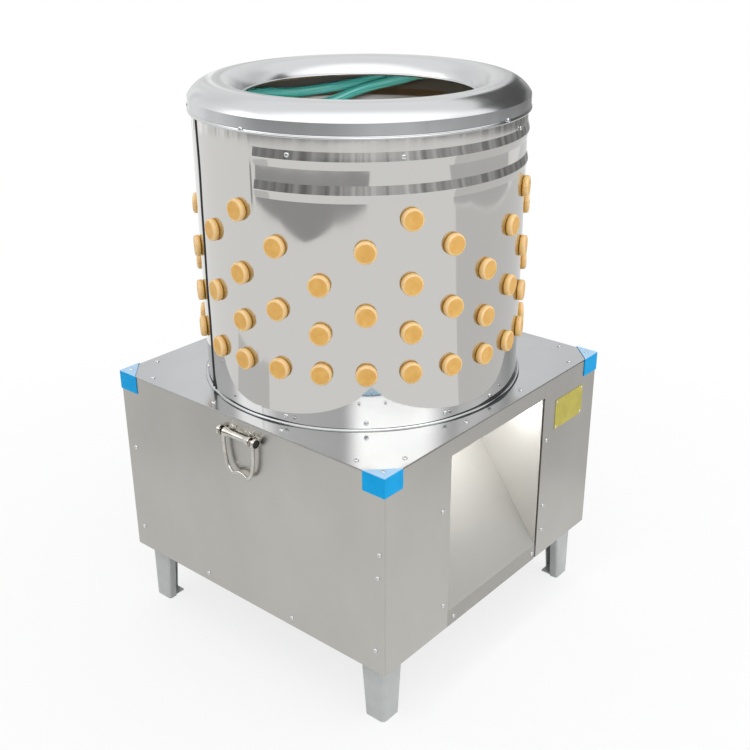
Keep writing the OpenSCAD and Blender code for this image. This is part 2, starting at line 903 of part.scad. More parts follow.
module upper_bearing() {
    flange_bearing(z_upper_seat + beam_h);
}

module lower_bearing() {
    flange_bearing(z_lower_seat + beam_h);
}

// Hexagon bolts down through the bearing plates, with nuts under the beams
module bearing_bolts() {
    head = 6;
    reach = bearing_t + beam_t;
    color("silver")
        for (z = [z_upper_seat, z_lower_seat], x = [-1, 1], y = [-1, 1])
            translate([x * bearing_pitch / 2, y * bearing_pitch / 2, z + beam_h - beam_t]) {
                translate([0, 0, -head]) cylinder(r = bolt_r, h = reach + 2 * head, $fn = 32);
                translate([0, 0, reach]) hex(8.5, head);
                translate([0, 0, -head]) hex(8.5, head);
            }
}

// V belt: two wraps and two straight runs, at rest on both pulleys

belt_lean = asin((driven_r - driver_r) / belt_centres);
belt_run = sqrt(belt_centres * belt_centres - (driven_r - driver_r) * (driven_r - driver_r));

// The straight runs are a hair thinner and reach into the wraps
run_thin = 0.03;
run_lap = 1;

module belt_section(pitch_r, thin) {
    back = belt_w / 2 - thin;
    front = back - belt_t * tan(groove_deg);
    polygon([[pitch_r + belt_back - thin, -back], [pitch_r + belt_back - thin, back],
        [pitch_r + belt_back - belt_t + thin, front], [pitch_r + belt_back - belt_t + thin, -front]]);
}

module drive_belt() {
    color("black")
        translate([0, 0, z_belt]) {
            rotate([0, 0, -90 - belt_lean])
                rotate_extrude(angle = 180 + 2 * belt_lean) belt_section(driven_r, 0);
            translate([-belt_centres, 0, 0])
                rotate([0, 0, 90 + belt_lean])
                    rotate_extrude(angle = 180 - 2 * belt_lean) belt_section(driver_r, 0);
            front_and_rear()
                rotate([0, 0, 90 + belt_lean])
                    translate([0, belt_run + run_lap, 0])
                        rotate([90, 0, 0])
                            linear_extrude(belt_run + 2 * run_lap) belt_section(driven_r, run_thin);
        }
}

// Motor, hung with its shaft down between two rails

motor_side_gap = 8;
motor_bore_r = 40;
motor_rail_x = motor_r + fin_out + motor_rail_w / 2 + motor_side_gap;
motor_plate_half = motor_rail_x + motor_rail_w / 2;
motor_bolt_pitch = motor_bolt_circle * cos(45);
z_motor = z_lower_seat;
flange_t = 10;
z_fan = z_pan - motor_headroom - fan_h;
// The finned casing fills the height between the flange and the fan cover
motor_h = z_fan - z_motor - flange_t;

module at_motor() {
    translate([-belt_centres, 0, 0]) children();
}

module at_motor_bolts() {
    for (x = [-1, 1], y = [-1, 1])
        translate([x * motor_bolt_pitch / 2, y * motor_bolt_pitch / 2, 0]) children();
}

module motor_rails() {
    color("slategray")
        at_motor()
            for (x = [-1, 1])
                translate([x * motor_rail_x - motor_rail_w / 2, -beam_half, z_motor])
                    difference() {
                        cube([motor_rail_w, 2 * beam_half, motor_rail_h]);
                        translate([angle_t, -over, angle_t])
                            cube([motor_rail_w - 2 * angle_t, 2 * (beam_half + over), motor_rail_h - 2 * angle_t]);
                    }
}

module motor_plate() {
    color("slategray")
        at_motor()
            translate([0, 0, z_motor - motor_plate_t])
                difference() {
                    translate([-motor_plate_half, -motor_plate_half, 0])
                        cube([2 * motor_plate_half, 2 * motor_plate_half, motor_plate_t]);
                    translate([0, 0, -over]) cylinder(r = motor_bore_r, h = motor_plate_t + 2 * over);
                    at_motor_bolts()
                        translate([0, 0, -over]) cylinder(r = bolt_r + seat, h = motor_plate_t + 2 * over, $fn = 32);
                }
}

module motor_bolts() {
    head = 6;
    color("silver")
        at_motor()
            at_motor_bolts()
                translate([0, 0, z_motor - motor_plate_t]) {
                    cylinder(r = bolt_r, h = motor_plate_t + flange_t, $fn = 32);
                    translate([0, 0, -head]) hex(8.5, head);
                }
}

// Cast casing: flange, barrel and cooling fins
module motor_casing() {
    bore = motor_shaft_r + run_fit;
    color("royalblue")
        at_motor()
            translate([0, 0, z_motor])
                difference() {
                    union() {
                        cylinder(r = motor_r + fin_out, h = flange_t);
                        cylinder(r = motor_r, h = flange_t + motor_h);
                        for (k = [0 : fin_count - 1])
                            rotate([0, 0, 360 * k / fin_count])
                                translate([motor_r - over, -1, flange_t - over])
                                    cube([fin_out + over, 2, motor_h - 8]);
                    }
                    translate([0, 0, -over]) cylinder(r = bore, h = flange_t + motor_h + 2 * over);
                    at_motor_bolts()
                        translate([0, 0, -over]) cylinder(r = bolt_r + seat, h = flange_t + over, $fn = 32);
                }
}

// Pressed cover over the fan, with a ring of air slots
module motor_fan_cover() {
    cover_r = motor_r + fin_out - 2;
    color("midnightblue")
        at_motor()
            translate([0, 0, z_fan])
                difference() {
                    rotate_extrude()
                        polygon([[motor_r - 6, 0], [cover_r, 0], [cover_r, fan_h - 8], [cover_r - 8, fan_h],
                            [0, fan_h], [0, fan_h - 2], [cover_r - 9, fan_h - 2], [cover_r - 2, fan_h - 9],
                            [cover_r - 2, 2], [motor_r - 6, 2]]);
                    for (k = [0 : 11])
                        rotate([0, 0, 30 * k])
                            translate([18, -2, fan_h - 2 - over]) cube([24, 4, 2 + 2 * over]);
                }
}

module motor_terminal_box() {
    lid = 4;
    rim = 3;
    color("midnightblue")
        at_motor()
            translate([-terminal_w / 2, motor_r + fin_out, z_motor + flange_t + motor_h / 2 - terminal_h / 2]) {
                cube([terminal_w, terminal_d, terminal_h]);
                translate([rim, terminal_d, rim]) cube([terminal_w - 2 * rim, lid, terminal_h - 2 * rim]);
            }
}

module motor_shaft() {
    color("lightsteelblue")
        at_motor()
            translate([0, 0, z_belt - 14]) cylinder(r = motor_shaft_r, h = z_fan + 24 - z_belt + 14);
}

module motor_pulley() {
    color("slategray")
        at_motor()
            translate([0, 0, z_belt]) pulley(driver_r, motor_shaft_r + seat / 2, motor_shaft_r + 4);
}

// Drop handle, drawn on the front face

bore_r = wire_r + run_fit;
pin_in = 14;
slot_half = wire_r + clear;

module handle_bracket() {
    ear_r = 10;
    ear_z = z_top - 16;
    color("lightgray")
        difference() {
            union() {
                translate([handle_x, 0, 0])
                    rotate([90, 0, 0])
                        translate([0, 0, half])
                            linear_extrude(back_t) {
                                translate([-barrel_half, barrel_z - barrel_r]) square([2 * barrel_half, 2 * barrel_r]);
                                for (x = [-rivet_half, rivet_half]) {
                                    translate([x, ear_z]) circle(r = ear_r, $fn = 48);
                                    translate([x - ear_r, barrel_z]) square([2 * ear_r, ear_z - barrel_z]);
                                }
                            }
                translate([handle_x - barrel_half, -barrel_y, barrel_z])
                    rotate([0, 90, 0]) cylinder(r = barrel_r, h = 2 * barrel_half);
            }
            translate([handle_x - barrel_half - over, -barrel_y, barrel_z])
                rotate([0, 90, 0]) cylinder(r = bore_r, h = 2 * (barrel_half + over));
            for (x = [-bail_half, bail_half])
                translate([handle_x + x - slot_half, -barrel_y - 2 * barrel_r, barrel_z - 2 * barrel_r])
                    cube([2 * slot_half, 2 * barrel_r + slot_half, 2 * barrel_r + slot_half]);
            for (x = [-rivet_half, rivet_half])
                translate([handle_x + x, -half + over, ear_z])
                    rotate([90, 0, 0]) cylinder(r = rivet_r + seat, h = back_t + 2 * over, $fn = 32);
        }
}

// Wire bail: two arms drawn in towards a grip with a shallow wave
bail_drop = bail_len - wire_r;
bail_route = [[bail_half, 0], [bail_half, -0.3 * bail_drop], [bail_half - 1.5, -0.6 * bail_drop],
    [bail_half - 6, -0.86 * bail_drop], [bail_half - 15, -bail_drop], [bail_half - 24, -0.95 * bail_drop]];
bail_outline = spline_points(concat(bail_route, [[0, -0.93 * bail_drop]],
    [for (p = backwards(bail_route)) [-p[0], p[1]]]), 3);

module bail() {
    color("gainsboro")
        translate([handle_x, -barrel_y, barrel_z]) {
            tube_along([for (p = bail_outline) [p[0], 0, p[1]]], wire_r, 12, [0, 1, 0]);
            for (x = [-1, 1])
                mirror([x < 0 ? 1 : 0, 0, 0])
                    translate([pin_in, 0, 0])
                        rotate([0, 90, 0]) cylinder(r = wire_r, h = bail_half + wire_r - pin_in);
        }
}

module front_handle_bracket() {
    handle_bracket();
}

module rear_handle_bracket() {
    at_rear() handle_bracket();
}

module front_bail() {
    bail();
}

module rear_bail() {
    at_rear() bail();
}

rivet_r = 2.4;

module handle_rivets() {
    dome_r = 4;
    dome_h = 2.2;
    color("silver")
        for (turn = [0, 180], x = [-rivet_half, rivet_half])
            rotate([0, 0, turn])
                translate([handle_x + x, -half - back_t, z_top - 16])
                    rotate([90, 0, 0]) {
                        translate([0, 0, -back_t]) cylinder(r = rivet_r, h = back_t, $fn = 32);
                        rotate_extrude($fn = 32)
                            polygon(concat([[0, 0]], [for (a = [0 : 30 : 90]) [dome_r * cos(a), dome_h * sin(a)]]));
                    }
}

module name_plate() {
    gap_top = 44;
    middle_y = (access_y0 + inside) / 2 - 2;
    color("khaki")
        translate([half, middle_y - plate_len / 2, z_top - gap_top - plate_h])
            cube([plate_t, plate_len, plate_h]);
}

// Start and stop switch with the mains gland, on the rear sheet

// The box's back hangs clear under the upper beam rail
switch_x = switch_margin - half;
switch_z = z_upper_seat - angle_t - switch_h / 2;
button_pitch = 46;
switch_back = 40;
button_travel = 3;
button_in = 8;

module switch_hole() {
    translate([switch_x - switch_w / 2 + 6, half - panel_t - over, switch_z - switch_h / 2 + 6])
        cube([switch_w - 12, panel_t + 2 * over, switch_h - 12]);
}

module switch_box() {
    depth = button_in + button_travel + 1;
    color("darkslategray")
        difference() {
            union() {
                translate([switch_x - switch_w / 2, half, switch_z - switch_h / 2])
                    cube([switch_w, switch_out, switch_h]);
                translate([switch_x - switch_w / 2 + 7, half - switch_back, switch_z - switch_h / 2 + 7])
                    cube([switch_w - 14, switch_back, switch_h - 14]);
            }
            for (side = [-1, 1])
                translate([switch_x, half + switch_out + over, switch_z + side * button_pitch / 2])
                    rotate([90, 0, 0]) cylinder(r = button_r + run_fit, h = depth + over);
        }
}

// A button runs on a stem that seats in the box's bore
module push_button(side) {
    translate([switch_x, half + switch_out - button_in, switch_z + side * button_pitch / 2])
        rotate([-90, 0, 0])
            rotate_extrude()
                polygon([[0, 0], [button_r, 0], [button_r, button_in + button_out - 1.5],
                    [button_r - 1.5, button_in + button_out], [0, button_in + button_out]]);
}

module start_button() {
    color("green") push_button(1);
}

module stop_button() {
    color("red") push_button(-1);
}

gland_r = 8;
gland_x = switch_x;
gland_up = 60;
gland_z = z_box + gland_up;
gland_bore_r = 4;
gland_nut_r = 12;
gland_nut_h = 5;
gland_cap_r = 10;
gland_lip_r = 7.5;
gland_cap_h = 7;
gland_tail = 8;
gland_nut_in = 6;

module gland_hole() {
    translate([gland_x, half + over, gland_z])
        rotate([90, 0, 0]) cylinder(r = gland_r + seat, h = panel_t + 2 * over);
}

module cable_gland() {
    color("black")
        translate([gland_x, half, gland_z])
            rotate([-90, 0, 0])
                difference() {
                    union() {
                        translate([0, 0, -panel_t - gland_tail]) cylinder(r = gland_r, h = panel_t + gland_tail);
                        hex(gland_nut_r, gland_nut_h);
                        translate([0, 0, gland_nut_h]) cylinder(r1 = gland_cap_r, r2 = gland_lip_r, h = gland_cap_h);
                        translate([0, 0, -panel_t - gland_nut_in]) hex(gland_nut_r, gland_nut_h);
                    }
                    translate([0, 0, -panel_t - gland_tail - over])
                        cylinder(r = gland_bore_r, h = panel_t + gland_tail + gland_nut_h + gland_cap_h + 3 * over);
                }
}

// Water hose round the top of the drum, from its inlet to its nozzle

inlet_deg = 208;
inlet_z = drum_h - hose_route[0][2];
barb_r = hose_d / 2 - 2.5;

// Spigot through the wall, with an elbow whose barb points along the hose
module hose_inlet() {
    spigot_out = 22;
    start = hose_line[0];
    nut_h = 5;
    nut_r = 8.6;
    color("goldenrod") {
        rotate([0, 0, inlet_deg])
            translate([0, 0, z_top + inlet_z])
                rotate([0, 90, 0])
                    difference() {
                        union() {
                            translate([0, 0, wall_line]) cylinder(r = inlet_r, h = drum_r + spigot_out - wall_line);
                            translate([0, 0, drum_r + seat]) rotate([0, 0, 30]) hex(nut_r, nut_h);
                            translate([0, 0, wall_line]) sphere(r = hose_d / 2 - seat);
                        }
                        translate([0, 0, drum_r]) cylinder(r = 4, h = spigot_out + over);
                    }
        elbow = wall_line * [cos(inlet_deg), sin(inlet_deg), 0] + [0, 0, z_top + inlet_z];
        way = start - elbow;
        tilt = acos(unit(way) * tangent(hose_line, 0));
        translate(elbow)
            rotate([90, 0, atan2(way[1], way[0]) + 90])
                cylinder(r = inlet_r, h = norm(way) - inlet_r * sin(tilt) - seat);
    }
}

module water_hose() {
    color("mediumseagreen")
        tube_along(hose_line, hose_d / 2, hose_sides, [0, 0, 1]);
}

// Short brass nozzle pushed into the free end of the hose
module hose_nozzle() {
    last = len(hose_line) - 1;
    way = tangent(hose_line, last);
    color("darkgoldenrod")
        translate(hose_line[last] + seat * way)
            rotate([0, 90 - asin(way[2]), atan2(way[1], way[0])])
                difference() {
                    union() {
                        cylinder(r = hose_d / 2 + 1, h = 8);
                        translate([0, 0, 8]) cylinder(r1 = hose_d / 2, r2 = hose_d / 3, h = 18);
                    }
                    translate([0, 0, 4]) cylinder(r = hose_d / 5, h = 22 + over);
                }
}

top_plate();
front_panel();
rear_panel();
side_panel();
discharge_panel();
access_panel();
corner_posts();
bottom_rails();
beam_rails();
upper_beam();
lower_beam();
leg_front_left();
leg_front_right();
leg_rear_left();
leg_rear_right();
corner_guard_front_left();
corner_guard_front_right();
corner_guard_rear_left();
corner_guard_rear_right();
drum_shell();
drum_collar();
lid_ring();
wall_fingers();
feather_pan();
chute_slope();
chute_side_left();
chute_side_right();
turntable();
plate_fingers();
wipers();
hub();
main_shaft();
cap_nut();
driven_pulley();
upper_bearing();
lower_bearing();
bearing_bolts();
drive_belt();
motor_rails();
motor_plate();
motor_bolts();
motor_casing();
motor_fan_cover();
motor_terminal_box();
motor_shaft();
motor_pulley();
front_handle_bracket();
rear_handle_bracket();
front_bail();
rear_bail();
handle_rivets();
name_plate();
switch_box();
start_button();
stop_button();
cable_gland();
hose_inlet();
water_hose();
hose_nozzle();
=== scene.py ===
# Looks of the drum poultry plucker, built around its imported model. Sizes are in mm until a mesh is made.
import math
from collections import namedtuple
from contextlib import contextmanager

import bmesh
import bpy
from mathutils import Matrix, Vector


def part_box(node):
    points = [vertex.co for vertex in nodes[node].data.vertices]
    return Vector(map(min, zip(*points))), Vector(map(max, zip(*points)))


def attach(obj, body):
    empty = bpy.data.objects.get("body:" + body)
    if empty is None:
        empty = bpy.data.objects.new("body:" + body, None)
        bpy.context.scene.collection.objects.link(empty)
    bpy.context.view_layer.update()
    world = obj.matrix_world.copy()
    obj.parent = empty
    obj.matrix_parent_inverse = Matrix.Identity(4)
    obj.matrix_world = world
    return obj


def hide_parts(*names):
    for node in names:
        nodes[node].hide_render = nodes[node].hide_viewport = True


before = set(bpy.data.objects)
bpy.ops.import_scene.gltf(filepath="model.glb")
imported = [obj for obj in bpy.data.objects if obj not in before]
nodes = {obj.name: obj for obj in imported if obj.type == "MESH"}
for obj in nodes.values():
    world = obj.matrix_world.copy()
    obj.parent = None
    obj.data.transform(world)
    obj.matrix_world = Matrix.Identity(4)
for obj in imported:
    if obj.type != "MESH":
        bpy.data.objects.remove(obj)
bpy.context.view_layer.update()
scene = bpy.context.scene
MM = 0.001


def box_mm(node):
    """A solid's lowest and highest corners in millimetres, to a hundredth."""
    return [Vector([round(c / MM, 2) for c in corner]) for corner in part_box(node)]


# Sizes shared with the solids
TOP = box_mm("top_plate")[1].z
HALF = box_mm("top_plate")[1].x
DRUM_R, DRUM_T = 250.0, 1.2
DRUM_H = box_mm("drum_shell")[1].z - TOP
DRUM_IN = DRUM_R - DRUM_T


def at(x, y, z):
    """A point given in millimetres, as Blender's metres."""
    return Vector((x, y, z)) * MM


def polar(radius, deg, z):
    a = math.radians(deg)
    return at(radius * math.cos(a), radius * math.sin(a), z)


def outward(deg):
    """The level way out from the drum's axis."""
    return polar(1, deg, 0).normalized()


def turns(count):
    """The angles of a full turn in equal steps."""
    return [2 * math.pi * k / count for k in range(count)]


def linear(code):
    """A hex colour as it is seen, as the linear values that a shader takes."""
    parts = [int(code[i:i + 2], 16) / 255 for i in (1, 3, 5)]
    return [c / 12.92 if c <= 0.04045 else ((c + 0.055) / 1.055) ** 2.4 for c in parts] + [1.0]


def placed(name, data):
    """A new object in the scene, at the origin."""
    piece = bpy.data.objects.new(name, data)
    scene.collection.objects.link(piece)
    return piece


# Camera, solved on the photograph: place, turn round the object, tilt down and roll
CAM_PLACE = Vector((1.0789, -1.2406, 1.1439))
CAM_TURN, CAM_TILT, CAM_ROLL = (math.radians(deg) for deg in (40.30, 24.156, -0.326))
CAM_LENS, CAM_SENSOR = 52.23, 36
flat_share = math.cos(CAM_TILT)
back = Vector((math.sin(CAM_TURN) * flat_share, -math.cos(CAM_TURN) * flat_share, math.sin(CAM_TILT)))
flat_right = Vector((math.cos(CAM_TURN), math.sin(CAM_TURN), 0))
flat_up = back.cross(flat_right)
right = flat_right * math.cos(CAM_ROLL) + flat_up * math.sin(CAM_ROLL)
up = flat_up * math.cos(CAM_ROLL) - flat_right * math.sin(CAM_ROLL)
lens = bpy.data.cameras.new("photo_camera")
lens.sensor_width, lens.lens = CAM_SENSOR, CAM_LENS
scene.camera = placed("photo_camera", lens)
scene.camera.matrix_world = Matrix.Translation(CAM_PLACE) @ Matrix((right, up, back)).transposed().to_4x4()


# Mesh makers

def settle(piece, modifier):
    """Turns what a modifier makes into the piece's own plain mesh, and takes the modifier off."""
    result = bpy.data.meshes.new_from_object(piece.evaluated_get(bpy.context.evaluated_depsgraph_get()))
    piece.modifiers.remove(modifier)
    piece.data = result
    result.name = piece.name


@contextmanager
def edited(mesh):
    """A mesh opened for edits, which are then written back to it."""
    shape = bmesh.new()
    shape.from_mesh(mesh)
    yield shape
    shape.to_mesh(mesh)
    shape.free()


def smooth_by_angle(mesh, deg):
    """Smooth faces, with a crisp line along each edge that bends more than deg."""
    with edited(mesh) as shape:
        for face in shape.faces:
            face.smooth = True
        for edge in shape.edges:
            edge.smooth = len(edge.link_faces) == 2 and edge.calc_face_angle(0) < math.radians(deg)


def skin(rings, loop=False, caps=True):
    """Points and faces of a surface over closed rings of points. A loop joins the last ring to the first."""
    count = len(rings[0])
    points = [p for ring in rings for p in ring]
    faces = []
    for i in range(len(rings) if loop else len(rings) - 1):
        a, b = i * count, (i + 1) % len(rings) * count
        faces += [(a + k, a + (k + 1) % count, b + (k + 1) % count, b + k) for k in range(count)]
    if caps and not loop:
        faces.append(tuple(range(count))[::-1])
        faces.append(tuple(range(len(points) - count, len(points))))
    return points, faces


def joined(shapes):
    """Points and faces of several shapes as those of one."""
    points, faces = [], []
    for more_points, more_faces in shapes:
        faces += [[i + len(points) for i in face] for face in more_faces]
        points += more_points
    return points, faces


def shape_of(name, points, faces, crisp=35):
    """An object of these points and faces, facing outwards, with crisp lines past an angle."""
    mesh = bpy.data.meshes.new(name)
    mesh.from_pydata(points, [], faces)
    with edited(mesh) as shape:
        bmesh.ops.recalc_face_normals(shape, faces=shape.faces)
    smooth_by_angle(mesh, crisp)
    return placed(name, mesh)


def spun(profile, steps):
    """Rings of a shape of revolution round Z, from its profile of radius and height."""
    return [[polar(r, 360 * k / steps, z) for k in range(steps)] for r, z in profile]


def tube(name, line, radius, sides):
    """A round tube along a line of points, with its angle and run kept for patterns that follow it."""
    rings, marks = [], []
    side = Vector((0, 0, 1))
    run = 0.0
    for i, p in enumerate(line):
        way = (line[min(i + 1, len(line) - 1)] - line[max(i - 1, 0)]).normalized()
        side = (side - way * side.dot(way)).normalized()
        across = way.cross(side)
        run += (p - line[i - 1]).length if i else 0.0
        rings.append([p + radius * (math.cos(a) * side + math.sin(a) * across) for a in turns(sides)])
        marks += [(math.cos(a), math.sin(a), run) for a in turns(sides)]
    piece = shape_of(name, *skin(rings))
    mark = piece.data.attributes.new("round_and_run", "FLOAT_VECTOR", "POINT")
    mark.data.foreach_set("vector", [c for m in marks for c in m])
    return piece


def spline(points, steps):
    """Catmull-Rom through the points, as in the solids."""
    last = len(points) - 1
    line = []
    for i in range(last):
        a, b, c, d = (points[max(i - 1, 0)], points[i], points[i + 1], points[min(i + 2, last)])
        for k in range(steps):
            t = k / steps
            line.append([0.5 * (2 * q + (r - p) * t + (2 * p - 5 * q + 4 * r - s) * t * t
                                + (3 * q - 3 * r + s - p) * t ** 3) for p, q, r, s in zip(a, b, c, d)])
    return line + [list(points[last])]


def dress(piece, coat, body, slot, *stands_for):
    """Gives a piece its finish and the body it moves with, and hides the solids that it stands for. slot is
    not used.
    """
    piece.data.materials.clear()
    piece.data.materials.append(coat)
    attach(piece, body)
    if stands_for:
        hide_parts(*stands_for)
    return piece


# Points of a solid's mesh closer than this, in metres, are one, and faces within this angle are one face
SAME_POINT, SAME_FACE_DEG = 2e-6, 0.5
EASE_STEPS, EASE_FROM_DEG, EASED_CRISP_DEG = 2, 40, 32


def eased(node, name, width):
    """A copy of a solid's mesh, joined up, with its sharp edges eased."""
    mesh = nodes[node].data.copy()
    mesh.name = name
    mesh.materials.clear()
    with edited(mesh) as shape:
        bmesh.ops.remove_doubles(shape, verts=shape.verts, dist=SAME_POINT)
        bmesh.ops.dissolve_limit(shape, angle_limit=math.radians(SAME_FACE_DEG), verts=shape.verts,
                                 edges=shape.edges)
    piece = placed(name, mesh)
    ease = piece.modifiers.new("eased_edges", "BEVEL")
    ease.width, ease.segments, ease.use_clamp_overlap = width * MM, EASE_STEPS, True
    ease.limit_method, ease.angle_limit = "ANGLE", math.radians(EASE_FROM_DEG)
    settle(piece, ease)
    smooth_by_angle(piece.data, EASED_CRISP_DEG)
    # Flat faces keep their own normals, so that a sheet mirrors as a flat sheet does
    flat = piece.modifiers.new("flat_faces", "WEIGHTED_NORMAL")
    flat.keep_sharp = True
    settle(piece, flat)
    return piece


def add(tree, kind, values=None, **settings):
    """A node with its settings. A value that is a socket is linked, any other is set."""
    node = tree.nodes.new(kind)
    for key, value in settings.items():
        setattr(node, key, value)
    for key, value in (values or {}).items():
        if isinstance(value, bpy.types.NodeSocket):
            tree.links.new(value, node.inputs[key])
        else:
            node.inputs[key].default_value = value
    return node


# Hose: azimuth, distance in from the wall line and depth below the drum's edge, as in the solids
HOSE_D, HOSE_GAP, HOSE_SIDES = 17.0, 0.4, 28
WALL_LINE = DRUM_IN - HOSE_GAP - HOSE_D / 2
HOSE_ROUTE = [
    (202, 0, 32.8), (194, 0, 32.8), (184, 0, 34), (172, 0, 37), (158, 0, 42), (146, 0, 39), (136, 0, 34),
    (127, 0, 27), (118, 0, 18), (108, 0, 10), (96, 0, 5), (80, 0, 4), (50, 0, 4), (20, 0, 4), (-10, 0, 4),
    (-40, 0, 5), (-65, 0, 8), (-90, 0, 16), (-112, 0, 30), (-130, 0, 44), (-147, 1, 56), (-165, 5, 64),
    (-185, 12, 68), (-203, 17, 66), (-214, 17, 60), (-221, 17, 52), (-226, 17, 44), (-233, 17, 35),
    (-241, 17, 27), (-248, 17, 20), (-256, 18, 11), (-268, 21, 7), (-280, 25, 7)]
hose_line = [polar(WALL_LINE - inward, deg, TOP + DRUM_H - depth)
             for deg, inward, depth in spline(HOSE_ROUTE, 8)]
hose = tube("water_hose_vinyl", hose_line, HOSE_D / 2 * MM, HOSE_SIDES)


# Finishes. Sizes and depths of patches and grain are in mm. A stretch below 1 draws them out along X, Y or Z
EVEN = (1, 1, 1)
Gloss = namedtuple("Gloss", "size low high")
Tone = namedtuple("Tone", "size dark light stretch detail", defaults=(EVEN, 4))
Relief = namedtuple("Relief", "size depth strength stretch detail", defaults=(EVEN, 2))
# Most of a noise lies between these
CLOUD_LOW, CLOUD_HIGH, CLOUD_ROUGH = 0.3, 0.7, 0.55


def bare(block):
    """A material or world with an empty node tree, and that tree."""
    block.use_nodes = True
    block.node_tree.nodes.clear()
    return block, block.node_tree


def finish(name, colour, metallic, roughness, gloss=None, tone=None, relief=(), **sockets):
    """A material of one shader, whose gloss and tone drift in patches over layers of relief."""
    material, tree = bare(bpy.data.materials.new(name))
    shader = add(tree, "ShaderNodeBsdfPrincipled",
                 {"Base Color": linear(colour), "Metallic": metallic, "Roughness": roughness}, name="shader")
    for key, value in sockets.items():
        shader.inputs[key.replace("_", " ")].default_value = value
    add(tree, "ShaderNodeOutputMaterial", {"Surface": shader.outputs[0]})
    place = add(tree, "ShaderNodeTexCoord", name="place").outputs["Object"]
    if gloss:
        cloud = add(tree, "ShaderNodeTexNoise",
                    {"Vector": place, "Scale": 1 / (gloss.size * MM), "Detail": 3, "Roughness": CLOUD_ROUGH})
        drift = add(tree, "ShaderNodeMapRange",
                    {"Value": cloud.outputs["Fac"], "From Min": CLOUD_LOW, "From Max": CLOUD_HIGH,
                     "To Min": gloss.low, "To Max": gloss.high})
        tree.links.new(drift.outputs[0], shader.inputs["Roughness"])
    if tone:
        spread = add(tree, "ShaderNodeMapping", {"Vector": place, "Scale": tone.stretch})
        cloud = add(tree, "ShaderNodeTexNoise",
                    {"Vector": spread.outputs[0], "Scale": 1 / (tone.size * MM), "Detail": tone.detail,
                     "Roughness": CLOUD_ROUGH})
        drift = add(tree, "ShaderNodeValToRGB", {"Fac": cloud.outputs["Fac"]})
        stops = zip(drift.color_ramp.elements, (CLOUD_LOW, CLOUD_HIGH), (tone.dark, tone.light))
        for stop, share, code in stops:
            stop.position, stop.color = share, linear(code)
        tree.links.new(drift.outputs[0], shader.inputs["Base Color"])
    below = None
    for layer in relief:
        spread = add(tree, "ShaderNodeMapping", {"Vector": place, "Scale": layer.stretch})
        grain = add(tree, "ShaderNodeTexNoise",
                    {"Vector": spread.outputs[0], "Scale": 1 / (layer.size * MM), "Detail": layer.detail})
        values = {"Height": grain.outputs["Fac"], "Distance": layer.depth * MM, "Strength": layer.strength}
        if below:
            values["Normal"] = below
        below = add(tree, "ShaderNodeBump", values).outputs[0]
        tree.links.new(below, shader.inputs["Normal"])
    return material


def painted_light_over(material, share, code):
    """Lays a colour of painted light or shade over a finish's own, by a share between 0 and 1."""
    tree = material.node_tree
    own = tree.nodes["shader"].inputs["Base Color"]
    colour = own.links[0].from_socket if own.is_linked else list(own.default_value)
    mix = add(tree, "ShaderNodeMix", {"Factor": share, "A": colour, "B": linear(code)}, data_type="RGBA")
    tree.links.new(mix.outputs["Result"], own)


# Bright rolled stainless sheet: mirrors its surroundings, a little wavy from bending, with faint wiping haze
drum_steel = finish("bright_rolled_stainless", "#C8C7C4", 1.0, 0.06, Gloss(90, 0.035, 0.085),
                    relief=[Relief(130, 0.35, 0.5, (1, 1, 0.5), 1)])
# Inside, wet feathers have scoured it dull; its colour there is darkened as painted shade for the dim inside
# of the drum
SCOURED_ROUGHER = 0.34
tree = drum_steel.node_tree
inside = add(tree, "ShaderNodeAttribute", attribute_name="inner_face").outputs["Fac"]
haze = tree.nodes["shader"].inputs["Roughness"]
scoured = add(tree, "ShaderNodeMath", {0: inside, 1: SCOURED_ROUGHER, 2: haze.links[0].from_socket},
              operation="MULTIPLY_ADD")
tree.links.new(scoured.outputs[0], haze)
# Painted shade: the inner face gets a darker colour
painted_light_over(drum_steel, inside, "#A3A19E")

# Spun stainless lid: turning marks run round it, so highlights fan out from its middle.
# The real marks are finer than a pixel, so they are drawn this far apart; the wave repeats every pi / 10
LID_MARK = 5.236
lid_steel = finish("spun_stainless", "#C4C5C6", 1.0, 0.2, Gloss(70, 0.17, 0.25), Anisotropic=0.4)
tree = lid_steel.node_tree
shader, place = tree.nodes["shader"], tree.nodes["place"].outputs["Object"]
tangent = add(tree, "ShaderNodeTangent", direction_type="RADIAL", axis="Z")
tree.links.new(tangent.outputs[0], shader.inputs["Tangent"])
marks = add(tree, "ShaderNodeTexWave",
            {"Vector": place, "Scale": math.pi / 10 / (LID_MARK * MM), "Distortion": 1.5, "Detail": 2},
            wave_type="RINGS", rings_direction="Z")
cut = add(tree, "ShaderNodeBump", {"Height": marks.outputs["Fac"], "Distance": 0.02 * MM, "Strength": 0.25})
tree.links.new(cut.outputs[0], shader.inputs["Normal"])

# Cold-rolled stainless sheet with its dull mill finish: soft even reflections and a fine level grain,
# drawn coarser than the real one so that it shows
GRAIN, LEVEL_GRAIN = 1.6, (0.04, 0.04, 1)
sheet_steel = finish("dull_rolled_stainless", "#B6B4AF", 1.0, 0.34, Gloss(140, 0.29, 0.38),
                     Tone(220, "#B1AFAA", "#BBB9B4", (1, 1, 0.6)),
                     [Relief(GRAIN, 0.02, 0.25, LEVEL_GRAIN), Relief(190, 0.4, 0.35, detail=1)])

# The top plate is cut from a brighter, cooler sheet that mirrors the window above it
plate_steel = finish("bright_annealed_stainless", "#B8BABC", 1.0, 0.18, Gloss(140, 0.15, 0.21),
                     Tone(220, "#B3B5B7", "#BDBFC1"),
                     [Relief(GRAIN, 0.02, 0.15, (0.04, 1, 1)), Relief(190, 0.15, 0.35, detail=1)])

# The same sheet in the chute, scoured matt by wet feathers, so that it takes light from a wide angle; its
# colour is darker than the panels' as painted shade
chute_steel = finish("scoured_stainless", "#A4A29D", 0.5, 0.5, Gloss(80, 0.46, 0.58),
                     relief=[Relief(GRAIN, 0.02, 0.25, LEVEL_GRAIN)])
